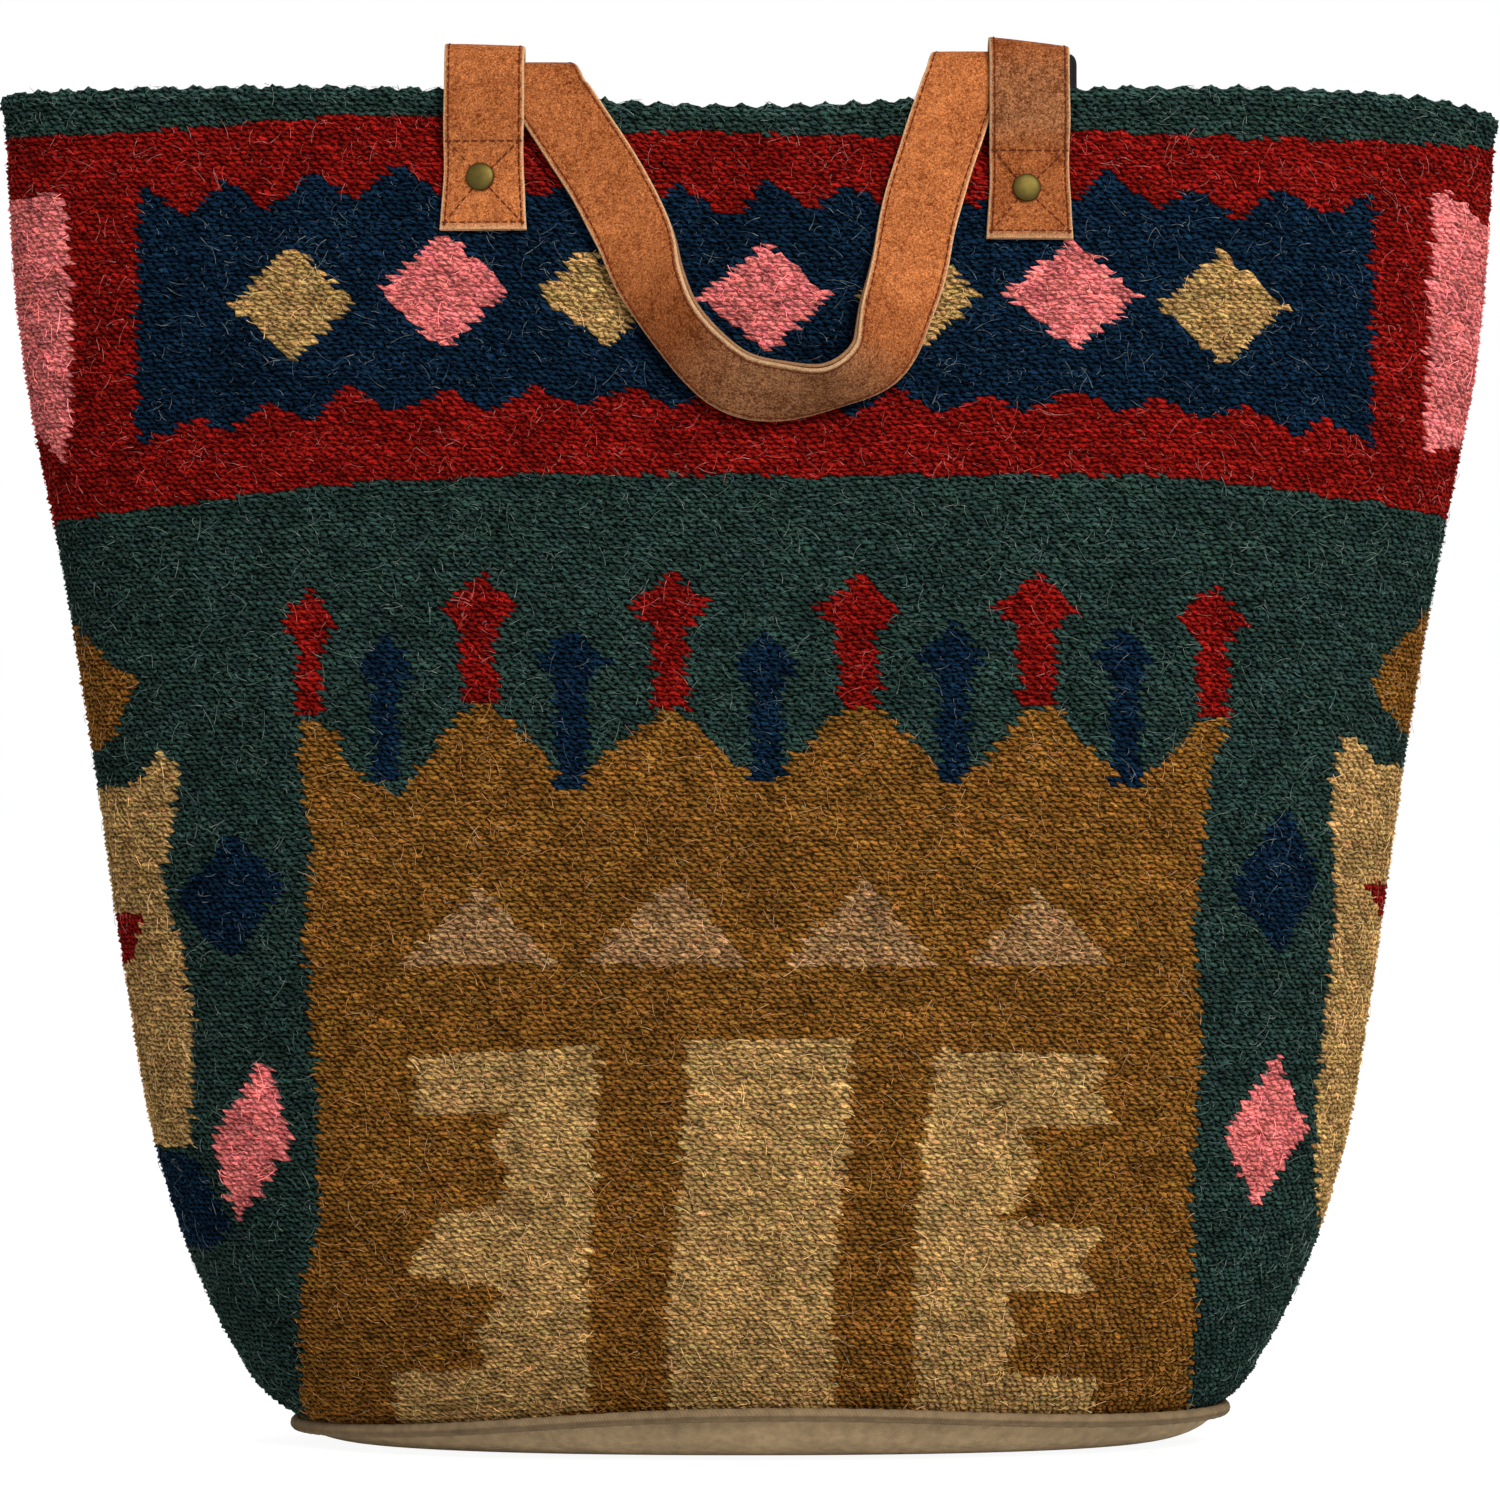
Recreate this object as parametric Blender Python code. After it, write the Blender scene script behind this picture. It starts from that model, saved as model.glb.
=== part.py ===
"""Flat-woven wool tote bag with two hanging suede handles.

Run with Blender 4.5. Metres, +Z up, front of the bag towards -Y, origin on the floor under the middle.
"""
import math

import bmesh
import bpy
from mathutils import Matrix, Vector
from mathutils.geometry import delaunay_2d_cdt

MM = 0.001

# The bag's size, at the rim's highest, its widest and its deepest
BAG_HEIGHT = 469.5
BAG_WIDTH = 522.0
BAG_DEPTH = 186.0

# The outer form as drawn: height, half width and half depth at each level
LEVELS = (
    (0.0, 146.0, 52.0),
    (9.0, 158.0, 64.0),
    (19.0, 171.0, 73.0),
    (31.0, 179.0, 80.0),
    (64.0, 195.0, 90.0),
    (104.0, 207.0, 93.0),
    (155.0, 216.0, 92.0),
    (224.0, 227.0, 83.0),
    (301.0, 240.0, 70.0),
    (384.0, 255.0, 56.0),
    (469.5, 261.3, 42.0),
)
DRAWN_HEIGHT, DRAWN_WIDTH = LEVELS[-1][0], LEVELS[-1][1] * 2
DRAWN_DEPTH = max(level[2] for level in LEVELS) * 2
ROUNDNESS = 2.2
RIM_DIP = 7.6
RIM_DIP_WIDTH = 82.0
END_DROOP = 3.5
END_TILT = 3.5
DENT = 2.2
DENT_LENGTH = 76.0

# The cloth and the base
WALL = 4.5
TOUCH = 0.3
SELVEDGE_HALF = 3.4
SELVEDGE_TOP = 1.5
SELVEDGE_HEIGHT = 8.0
FLOOR_HALF_WIDTH = 134.0
FLOOR_HALF_DEPTH = 46.0
BASE_THICKNESS = 3.0
SEAM_HEIGHT = 9.5
SEAM_RISE = 8.5
SEAM_RISE_WIDTH = 80.0
SEAM_TILT = 0.02
PIPING_RADIUS = 2.3

# The leather; heights, rises and drops are from the rim, and so is z in each pair
PLY = 1.5
STRAP_WIDTH = 26.4
TAB_THICKNESS = 2.4
TAB_WIDTH = 27.4
TAB_FLARE = 1.2
FLARE_LENGTH = 20.0
PATCH_THICKNESS = 1.2
CHAMFER = 0.3
TAB_LEFT_X = -91.0
TAB_RIGHT_X = 95.6
TAB_DROP_LEFT = 50.9
TAB_DROP_RIGHT = 53.9
TAB_RISE_LEFT = 13.7
TAB_RISE_RIGHT = 14.9
TAB_SLANT_LEFT = 0.5
TAB_SLANT_RIGHT = 1.6
LAYER_GAP = 0.5
LIFT_LENGTH = 15.5
LIFT_BELOW = 13.0
CREASE_LEFT = (-75.0, 7.5)
CREASE_RIGHT = (76.8, 11.3)
STRAP_TAIL = 14.0
PATCH_SHIFT = 3.6
PATCH_INSET = 2.0
PATCH_ROUNDING = 2.5
PATCH_RISE_LEFT = 5.5
PATCH_RISE_RIGHT = 12.0

# The rivets
RIVET_LEFT = (-92.0, -33.2)
RIVET_RIGHT = (94.3, -36.9)
CAP_RADIUS = 4.9
CAP_HEIGHT = 1.9
POST_RADIUS = 1.5

# The hanging run of the strap: x, z from the rim and how far its upper edge leans out, in degrees
HANGING_RUN = (
    (-52.0, -29.5, 0.0),
    (-40.5, -50.7, 4.0),
    (-33.6, -69.5, 33.0),
    (-24.0, -86.1, 47.0),
    (-8.1, -102.4, 42.0),
    (9.1, -107.3, 46.0),
    (27.8, -105.5, 62.0),
    (43.0, -96.3, 44.0),
    (49.8, -78.5, 22.0),
    (54.3, -63.1, 10.0),
    (59.8, -38.2, 0.0),
)
FOLD_REACH = 24.0

# Mesh steps
AROUND = 56
WALL_ROWS = 12
INNER_ROWS = 8
SELVEDGE_ROWS = 4
ROW_CROWDING = 1.4
BASE_ROWS = 3
ROLL_AROUND = 52
ROLL_SIDES = 6
SPLINE_STEPS = 2
FOLD_STEPS = 7
CAP_SIDES = 14
TURN_STEP = 1.25
RISE_STEP = 1.3
CHART_STRETCH = 1.6
MERGE = 0.0015
SNAP = 0.005
STRAIGHT = 1e-12
TICKS = 100000

# Yarn and leather colours, linear
COLOURS = {
    "green": (0.020, 0.042, 0.034),
    "red": (0.150, 0.008, 0.006),
    "navy": (0.006, 0.018, 0.042),
    "sand": (0.290, 0.185, 0.070),
    "pink": (0.500, 0.120, 0.115),
    "ochre": (0.150, 0.064, 0.012),
    "rose": (0.300, 0.140, 0.065),
}
SUEDE = (0.42, 0.135, 0.042)
BACKING = (0.20, 0.075, 0.028)
BLACK_LEATHER = (0.006, 0.005, 0.005)
CANVAS = (0.31, 0.21, 0.115)
PIPING = (0.24, 0.165, 0.10)
BRASS = (0.33, 0.24, 0.07)


def level_at(z):
    """Half width and half depth of the outer form at a height, in mm; it goes on straight above the rim."""
    z = max(z, 0.0) * DRAWN_HEIGHT / BAG_HEIGHT
    for low, high in zip(LEVELS, LEVELS[1:]):
        if z <= high[0] or high is LEVELS[-1]:
            t = (z - low[0]) / (high[0] - low[0])
            half_width, half_depth = (a + (b - a) * t for a, b in zip(low[1:], high[1:]))
            return half_width * BAG_WIDTH / DRAWN_WIDTH, half_depth * BAG_DEPTH / DRAWN_DEPTH


def dent(x, z):
    """Soft swell of the slack cloth, none at the sides, the rim or the seam."""
    half_width, _ = level_at(z)
    fade = max(0.0, 1 - (x / half_width) ** 2) * math.sin(math.pi * min(max(z / BAG_HEIGHT, 0), 1)) ** 2
    return DENT * fade * math.sin(x / DENT_LENGTH * math.pi + z / DENT_LENGTH)


def wall_y(x, z):
    """Y of the front face at a place seen from the front, in mm."""
    half_width, half_depth = level_at(z)
    reach = min(abs(x) / half_width, 1.0)
    return -half_depth * (1 - reach ** ROUNDNESS) ** (1 / ROUNDNESS) - dent(x, z)


def rim_z(angle):
    """Height of the cloth's top edge round the bag."""
    across = math.cos(angle)
    middle = RIM_DIP * math.exp(-(across * BAG_WIDTH / 2 / RIM_DIP_WIDTH) ** 2)
    ends = (END_DROOP + END_TILT * math.copysign(1, across)) * abs(across) ** 8
    return BAG_HEIGHT - middle - ends


def seam_z(angle):
    """Height of the seam between the cloth and the base round the bag."""
    across = math.cos(angle) * FLOOR_HALF_WIDTH
    return SEAM_HEIGHT + SEAM_RISE * math.exp(-(across / SEAM_RISE_WIDTH) ** 2) + SEAM_TILT * across


def ring_point(angle, z, inset=0.0):
    """A point of the outer form, set in by some millimetres."""
    half_width, half_depth = (size - inset for size in level_at(z))
    power = 2 / ROUNDNESS
    cosine, sine = math.cos(angle), math.sin(angle)
    x = half_width * math.copysign(abs(cosine) ** power, cosine)
    y = -half_depth * math.copysign(abs(sine) ** power, sine)
    swell = math.copysign(dent(x, z) * min(1.0, abs(sine) * 4), sine)
    return Vector((x, y - swell, z))


def selvedge_half(below):
    """Half thickness of the thickened top edge at a depth below its top."""
    if below >= SELVEDGE_HEIGHT:
        return WALL / 2
    middle = SELVEDGE_HEIGHT * 0.42
    if below > middle:
        share = (below - middle) / (SELVEDGE_HEIGHT - middle)
        return SELVEDGE_HALF + (WALL / 2 - SELVEDGE_HALF) * share ** 2
    share = (middle - below) / middle
    return SELVEDGE_HALF + (SELVEDGE_TOP - SELVEDGE_HALF) * share ** 2.5


def cloth_point(angle, share, inner=False):
    """A point of the cloth's outer or inner face at a share of its height."""
    low, high = seam_z(angle) + TOUCH, rim_z(angle)
    z = low + (high - low) * share
    half = selvedge_half(high - z)
    return ring_point(angle, z, WALL / 2 + half if inner else WALL / 2 - half)


def row_shares(rows):
    """Height shares of the mesh rows, closer together in the thickened top edge."""
    edge = SELVEDGE_HEIGHT / BAG_HEIGHT
    plain = [(1 - edge) * (row / rows) ** ROW_CROWDING for row in range(rows + 1)]
    steps = [row / SELVEDGE_ROWS for row in range(1, SELVEDGE_ROWS + 1)]
    return plain + [1 - edge * (1 - step) ** ROW_CROWDING for step in steps]


def material(name, colour, roughness=0.9, metallic=0.0):
    """A Principled material, made once."""
    if name in bpy.data.materials:
        return bpy.data.materials[name]
    made = bpy.data.materials.new(name)
    made.use_nodes = True
    made.diffuse_color = (*colour, 1)
    shader = made.node_tree.nodes["Principled BSDF"]
    shader.inputs["Base Color"].default_value = (*colour, 1)
    shader.inputs["Roughness"].default_value = roughness
    shader.inputs["Metallic"].default_value = metallic
    return made


def add_object(name, points, faces, surface, smooth_angle=math.radians(35)):
    """An object from points in mm and faces, with its faces turned outwards."""
    mesh = bpy.data.meshes.new(name)
    body = bmesh.new()
    corners = [body.verts.new(Vector(p) * MM) for p in points]
    for face in faces:
        body.faces.new([corners[i] for i in face])
    bmesh.ops.recalc_face_normals(body, faces=body.faces)
    body.to_mesh(mesh)
    body.free()
    mesh.materials.append(surface)
    mesh.shade_smooth()
    mesh.set_sharp_from_angle(angle=smooth_angle)
    made = bpy.data.objects.new(name, mesh)
    bpy.context.collection.objects.link(made)
    return made


def bridge(ring_a, ring_b):
    """Quads between two closed rings of point numbers."""
    count = len(ring_a)
    return [(ring_a[i], ring_a[(i + 1) % count], ring_b[(i + 1) % count], ring_b[i]) for i in range(count)]


# The woven pattern, as seen from the front: each field is a yarn and an outline in mm

HEAD_DROP = 11.7
NECK_DROP = 19.5
TRIANGLE_FOOT = 169.0
BEYOND = 300.0


def zigzag(peaks, dips):
    """Points that go up to each peak and down to each dip between them."""
    points = []
    for place, peak in enumerate(peaks):
        points.append(peak)
        if place < len(dips):
            points.append(dips[place])
    return points


def diamond(x, z, half_width, half_height, lean=0.0):
    """A diamond whose top leans to one side and its foot to the other."""
    top, foot = (x + lean, z + half_height), (x - lean, z - half_height)
    return [top, (x + half_width, z), foot, (x - half_width, z)]


def arrow(x, tip, head, stem, foot):
    """An arrow that stands on its stem and points up."""
    corner, neck = tip - HEAD_DROP, tip - NECK_DROP
    return [
        (x, tip), (x + head, corner), (x + stem, neck), (x + stem, foot),
        (x - stem, foot), (x - stem, neck), (x - head, corner),
    ]


def triangle(x, top, left, right):
    return [(x, top), (x + right, TRIANGLE_FOOT), (x - left, TRIANGLE_FOOT)]


def upper_fields():
    """The red band with its blue panel of diamonds, and the striped side fields."""
    yield "red", [
        (-BEYOND, 455), (-233, 454), (-203, 455), (-148, 458.5), (-106, 458.5), (-40, 453), (45, 451),
        (110, 454), (140, 452), (BEYOND, 450), (BEYOND, 314), (244, 322), (179, 330.5), (146, 334.5),
        (34, 334), (-85, 334.5), (-147, 331), (-191, 326), (-244, 320), (-BEYOND, 312)]
    peaks = [
        (-211, 435.5), (-180, 437), (-150.5, 439.5), (-120.5, 442), (-86, 438), (-55, 436), (-23.5, 435),
        (5, 435.5), (34, 434.5), (63, 437), (93, 439), (122, 439.5), (152, 434), (182, 434.5), (215, 433.5)]
    dips = [
        (-194, 425), (-165, 426), (-135, 430), (-105, 430), (-72, 430), (-39, 425), (-7.5, 422),
        (21.5, 426), (49, 425), (76.5, 426), (110, 429), (140, 426.5), (168, 423), (200, 424.5)]
    feet = [
        (214, 345), (187, 348.5), (155, 353.5), (125, 356), (93, 355.5), (65.5, 354.5), (35, 354.5),
        (5, 355), (-25.5, 357), (-57.5, 357), (-89, 355.5), (-121, 355.5), (-151, 353), (-180, 349.5),
        (-211, 345)]
    arches = [
        (198, 355.5), (170.5, 359), (140.5, 362), (111, 364), (80, 362), (49.5, 365), (20, 364),
        (-10, 365), (-40.5, 365), (-73.5, 365), (-103, 364), (-137, 365.5), (-164.5, 360), (-188.5, 355)]
    yield "navy", zigzag(peaks, dips) + zigzag(feet, arches)
    yield "sand", diamond(-157, 394, 21.5, 20.5)
    yield "pink", diamond(-104.5, 398, 23, 20.5)
    yield "sand", diamond(-52.5, 395.5, 20, 17, -4)
    yield "pink", diamond(5.5, 395.5, 22.5, 19)
    yield "sand", diamond(57.5, 396, 21, 19.5)
    yield "pink", diamond(110, 396.5, 23, 19)
    yield "sand", diamond(162, 393, 22.5, 20)
    yield "pink", [
        (-BEYOND, 424), (-243.5, 435), (-237, 432), (-234, 362), (-238.5, 340), (-250, 353), (-BEYOND, 360)]
    yield "pink", [
        (BEYOND, 405), (254.5, 425), (241.5, 435), (236.5, 431), (234, 360), (233.5, 343), (247, 347),
        (BEYOND, 362)]


def lower_fields():
    """The crowned panel with its arrows, triangles and combs, and the side motifs."""
    yield "ochre", [
        (-152.5, 251.5), (-141, 247.5), (-135.5, 235), (-119, 225), (-97.5, 254), (-88, 257), (-79, 249),
        (-61, 229), (-41.5, 245.5), (-28, 255), (-17.5, 250), (-5, 236), (5.5, 231), (19, 242), (28, 253),
        (41, 257), (50, 249), (70, 229), (83, 242), (93, 255.5), (105, 254.5), (111.5, 244.5), (128, 230),
        (140, 236), (153, 250.5), (162, 252), (156, 230), (153, 204), (150, 185), (153, 150), (149, 90),
        (152, 50), (151, -5), (-155, -5), (-153, 56), (-145, 86), (-147, 135), (-151, 180), (-148.5, 212),
        (-152.5, 230)]
    yield "red", arrow(-150, 296, 9.7, 4.4, 252)
    yield "red", arrow(-91.5, 301.5, 13.5, 6, 257)
    yield "red", arrow(-27, 301.5, 13.3, 5.7, 255)
    yield "red", arrow(36.5, 300.5, 13.8, 6.3, 255.5)
    yield "red", arrow(97, 301, 14, 6, 256)
    yield "red", arrow(157.5, 297, 12.3, 5.3, 252)
    yield "navy", arrow(-123.5, 281.5, 9.5, 4.4, 230)
    yield "navy", arrow(-60, 283, 12.2, 5.6, 228.5)
    yield "navy", arrow(5.5, 281.5, 10.5, 5.4, 230.5)
    yield "navy", arrow(68.5, 284.5, 11.6, 5, 230)
    yield "navy", arrow(127, 283.5, 10.6, 5, 229.5)
    yield "rose", triangle(-90.5, 195.5, 27.5, 25)
    yield "rose", triangle(-24.5, 198, 32, 25)
    yield "rose", triangle(38.5, 197.5, 27.5, 24)
    yield "rose", triangle(97, 194, 24, 26)
    yield "sand", [
        (-21, 144), (34, 144.5), (33, 109), (28, 68), (28.5, 19), (-27.5, 17), (-28, 50), (-23, 102)]
    yield "sand", [
        (-50.5, 142), (-52.5, 95), (-55, 60), (-53.5, 17), (-119.5, 9), (-122, 29), (-89.5, 32.5),
        (-92.5, 45), (-81, 59.5), (-116, 64.5), (-103, 86), (-85.5, 88), (-80.5, 98), (-87, 108.5),
        (-79.5, 119.5), (-114, 118.5), (-111, 128.5), (-115, 138)]
    yield "sand", [
        (62.5, 141), (120, 139), (116, 127), (124.5, 114.5), (90, 114.5), (97.5, 100), (84.5, 82.5),
        (121, 80.5), (111, 68.5), (117, 58), (85, 58.5), (92, 43), (83.5, 31), (118.5, 27), (116, 13),
        (55.5, 17), (55.5, 74.5), (58, 109)]
    yield "navy", [(-176, 213), (-158, 196.5), (-167, 182), (-173.5, 171), (-183, 173.5), (-196, 190.5)]
    yield "navy", [(183, 221), (195, 197.5), (181, 171), (162.5, 194.5)]
    yield "pink", diamond(-169.5, 108.5, 15, 29, 5.5)
    yield "pink", diamond(176, 111, 15, 26.5, 3.5)
    yield "ochre", [
        (-BEYOND, 290), (-239, 288), (-221, 271), (-210.5, 265), (-219.5, 245.5), (-226.5, 241),
        (-BEYOND, 239)]
    yield "ochre", [
        (BEYOND, 293), (238, 291), (220.5, 275), (214, 265), (221, 253.5), (230.5, 243), (BEYOND, 241)]
    yield "sand", [
        (-201.5, 241), (-195.5, 234.5), (-197.5, 215), (-201.5, 202), (-199, 188), (-194, 172.5),
        (-190, 149), (-192, 104), (-BEYOND, 101), (-BEYOND, 210), (-211, 230.5)]
    yield "sand", [
        (203.5, 245.5), (207.5, 246.5), (215.5, 237), (BEYOND, 226), (BEYOND, 67), (200, 67), (196.5, 84),
        (194, 117), (201, 186), (199, 212), (200, 230)]
    yield "red", [(-BEYOND, 186), (-209, 185), (-209.5, 180), (-214, 167), (-BEYOND, 164)]
    yield "red", [(211.5, 195), (BEYOND, 193), (BEYOND, 180), (222, 181)]
    yield "navy", [(-193.5, 102.5), (-185, 93.5), (-178, 78), (-185, 69.5), (-BEYOND, 68), (-BEYOND, 101)]


def to_chart(drawn_x, drawn_z):
    """Angle and height share of a front-view place, on the cloth's chart."""
    x = drawn_x * BAG_WIDTH / DRAWN_WIDTH
    z = drawn_z * BAG_HEIGHT / DRAWN_HEIGHT
    half_width, _ = level_at(z)
    across = min(max(x / half_width, -1.0), 1.0)
    angle = math.acos(math.copysign(abs(across) ** (ROUNDNESS / 2), across))
    low, high = seam_z(angle) + TOUCH, rim_z(angle)
    share = (z - low) / (high - low)
    share = 0.0 if share < SNAP else min(share, 1.0)
    column = round(angle * AROUND / (2 * math.pi)) * 2 * math.pi / AROUND
    if share in (0.0, 1.0) and abs(angle - column) < SNAP:
        angle = column
    return angle, share


def row_place(share):
    """Which row of the mesh a share of the cloth's height is at, with the part between two rows."""
    shares = row_shares(WALL_ROWS)
    row = max(index for index, low in enumerate(shares[:-1]) if low <= share)
    return row + (share - shares[row]) / (shares[row + 1] - shares[row])


def row_share(place):
    """The share of the cloth's height at a place among the rows."""
    shares = row_shares(WALL_ROWS)
    row = min(int(place), len(shares) - 2)
    return shares[row] + (place - row) * (shares[row + 1] - shares[row])


def without_spurs(points):
    """A closed outline without the runs it makes along a line and straight back again."""
    place = 0
    while place < len(points):
        before, here, after = points[place - 1], points[place], points[(place + 1) % len(points)]
        into = (here[0] - before[0], here[1] - before[1])
        out = (after[0] - here[0], after[1] - here[1])
        turn = into[0] * out[1] - into[1] * out[0]
        if abs(turn) < STRAIGHT and into[0] * out[0] + into[1] * out[1] <= 0:
            del points[place]
            place = 0
        else:
            place += 1
    return points


def chart_outline(outline):
    """A field's outline on the chart, cut into short steps that bend with the cloth."""
    points = []
    for start, end in zip(outline, outline[1:] + outline[:1]):
        (angle_a, share_a), (angle_b, share_b) = to_chart(*start), to_chart(*end)
        turns = abs(angle_a - angle_b) * AROUND / (2 * math.pi)
        rise = abs(row_place(share_a) - row_place(share_b))
        steps = max(1, math.ceil(turns / TURN_STEP), round(rise / RISE_STEP))
        for step in range(steps):
            share = step / steps
            place = to_chart(*(a + (b - a) * share for a, b in zip(start, end)))
            if not points or (Vector(place) - Vector(points[-1])).length > MERGE:
                points.append(place)
    points = without_spurs(points)
    area = sum(a[0] * b[1] - a[1] * b[0] for a, b in zip(points, points[1:] + points[:1]))
    return points if area > 0 else points[::-1]


def outer_chart(fields):
    """Triangles of one face's chart, each with the last field that covers it."""
    width = AROUND // 2 + 1
    shares = row_shares(WALL_ROWS)
    points = [Vector((column * 2 * math.pi / AROUND, share)) for share in shares for column in range(width)]
    last = len(shares) - 1
    ridges = [(row * width + column, row * width + column + 1)
              for row in range(WALL_ROWS, last) for column in range(width - 1)]
    outlines = []
    charts = [chart_outline(outline) for _, outline in fields]
    edge_shares = {place[1] for chart in charts for place in chart if place[0] in (0.0, math.pi)}
    points += [Vector((angle, share)) for share in edge_shares for angle in (0.0, math.pi)]
    border = list(range(width))
    border += [row * width + width - 1 for row in range(1, last + 1)]
    border += [last * width + column for column in range(width - 2, -1, -1)]
    border += [row * width for row in range(last - 1, 0, -1)]
    outlines.append(border)
    for chart in charts:
        outlines.append(list(range(len(points), len(points) + len(chart))))
        points += [Vector(place) for place in chart]
    stretch = CHART_STRETCH * AROUND / (2 * math.pi)
    wide = [Vector((point.x * stretch, row_place(point.y))) for point in points]
    verts, _, faces, _, _, sources = delaunay_2d_cdt(wide, ridges, outlines, 1, SNAP)
    verts = [Vector((vert.x / stretch, row_share(vert.y))) for vert in verts]
    return verts, faces, [max(source) - 1 for source in sources]


def face_point(angle, share, shares, inner):
    """A point of the cloth on the flat faces between its rows and columns."""
    step = 2 * math.pi / AROUND
    column = math.floor(angle / step + SNAP)
    row = max(index for index, low in enumerate(shares[:-1]) if low <= share)
    across = angle / step - column
    up = (share - shares[row]) / (shares[row + 1] - shares[row])
    here, there = column * step, (column + 1) * step
    low, high = (cloth_point(here, end, inner).lerp(cloth_point(there, end, inner), across)
                 for end in shares[row:row + 2])
    return low.lerp(high, up)


def edge_angles(verts, share):
    """Angles of the chart's points on its lower or upper edge, all the way round."""
    front = sorted({v[0] for v in verts if abs(v[1] - share) < 1e-6})
    return front + [2 * math.pi - angle for angle in front[-2:0:-1]]


def tick(value):
    """A chart value as a whole number, round at the columns, so that equal places share one corner."""
    return round(value * AROUND / (2 * math.pi) * TICKS)


def inside(angles, here, there):
    """The angles that lie between two others."""
    return [angle for angle in angles if tick(here) < tick(angle) < tick(there)]


def woven_wall():
    """The cloth: an open tube with its pattern laid in as fields, and a plain inner face."""
    fields = list(upper_fields()) + list(lower_fields())
    yarns = list(COLOURS)
    mesh = bmesh.new()
    corners = {}

    def corner(angle, share, inner=False):
        key = (tick(angle % (2 * math.pi)) % tick(2 * math.pi), tick(share), inner)
        if key not in corners:
            rows = row_shares(INNER_ROWS if inner else WALL_ROWS)
            corners[key] = mesh.verts.new(face_point(angle, share, rows, inner) * MM)
        return corners[key]

    verts, faces, owners = outer_chart(fields)
    for side in (1, -1):
        for face, owner in zip(faces, owners):
            made = mesh.faces.new([corner(side * verts[i][0], verts[i][1]) for i in face])
            made.material_index = yarns.index(fields[owner][0]) if owner >= 0 else 0
    ends = {share: edge_angles(verts, share) for share in (0.0, 1.0)}
    for share, angles in ends.items():
        for here, there in zip(angles, angles[1:] + angles[:1]):
            mesh.faces.new([corner(here, share), corner(there, share),
                            corner(there, share, True), corner(here, share, True)])
    step = 2 * math.pi / AROUND
    shares = row_shares(INNER_ROWS)
    for column in range(AROUND):
        here, there = column * step, (column + 1) * step
        for low, high in zip(shares, shares[1:]):
            below = [(angle, low) for angle in [here, *inside(ends.get(low, []), here, there), there]]
            above = [(angle, high) for angle in [here, *inside(ends.get(high, []), here, there), there]]
            mesh.faces.new([corner(angle, share, True) for angle, share in below + above[::-1]])
    bmesh.ops.recalc_face_normals(mesh, faces=mesh.faces)
    data = bpy.data.meshes.new("woven_wall")
    mesh.to_mesh(data)
    mesh.free()
    for yarn in yarns:
        data.materials.append(material("wool_" + yarn, COLOURS[yarn]))
    data.shade_smooth()
    data.set_sharp_from_angle(angle=math.radians(50))
    wall = bpy.data.objects.new("woven_wall", data)
    bpy.context.collection.objects.link(wall)
    return wall


def base_panel():
    """The canvas base: a shallow dish whose edge turns up to the seam."""
    points, rings = [], []

    def add_ring(share, inset):
        ring = []
        for column in range(AROUND):
            angle = column * 2 * math.pi / AROUND
            edge = ring_point(angle, seam_z(angle), inset)
            power = 2 / ROUNDNESS
            cosine, sine = math.cos(angle), math.sin(angle)
            flat = Vector((
                (FLOOR_HALF_WIDTH - inset) * math.copysign(abs(cosine) ** power, cosine),
                -(FLOOR_HALF_DEPTH - inset) * math.copysign(abs(sine) ** power, sine), inset))
            out = math.sin(share * math.pi / 2)
            up = 1 - math.cos(share * math.pi / 2)
            place = flat.lerp(edge, out)
            place.z = flat.z + (edge.z - flat.z) * up
            ring.append(len(points))
            points.append(place)
        rings.append(ring)

    for row in range(BASE_ROWS + 1):
        add_ring(row / BASE_ROWS, 0.0)
    for row in range(BASE_ROWS, -1, -1):
        add_ring(row / BASE_ROWS, BASE_THICKNESS)
    faces = [tuple(rings[0]), tuple(rings[-1])]
    for lower, upper in zip(rings, rings[1:]):
        faces += bridge(lower, upper)
    return add_object("base_panel", points, faces, material("base_canvas", CANVAS))


def closed_roll(name, centre_at, radius, surface):
    """A cord round the bag whose section stands square to its path."""
    points, rings = [], []
    for column in range(ROLL_AROUND):
        angle = column * 2 * math.pi / ROLL_AROUND
        centre = centre_at(angle)
        ahead = (centre_at(angle + 0.01) - centre_at(angle - 0.01)).normalized()
        out = ahead.cross(Vector((0, 0, -1))).normalized()
        up = ahead.cross(out).normalized()
        ring = []
        for side in range(ROLL_SIDES):
            turn = (side + 0.5) * 2 * math.pi / ROLL_SIDES
            ring.append(len(points))
            points.append(centre + (out * math.cos(turn) + up * math.sin(turn)) * radius)
        rings.append(ring)
    faces = []
    for here, there in zip(rings, rings[1:] + rings[:1]):
        faces += bridge(here, there)
    return add_object(name, points, faces, surface, math.radians(80))


def base_piping():
    """The cord that covers the seam, just outside the cloth and the base."""
    def centre(angle):
        inner = ring_point(angle, seam_z(angle), 0.0)
        outer = ring_point(angle, seam_z(angle), -10.0)
        away = (outer - inner).normalized()
        return inner + away * (PIPING_RADIUS + TOUCH) + Vector((0, 0, -PIPING_RADIUS / 2))
    return closed_roll("base_piping", centre, PIPING_RADIUS, material("piping", PIPING, 0.8))


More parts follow.
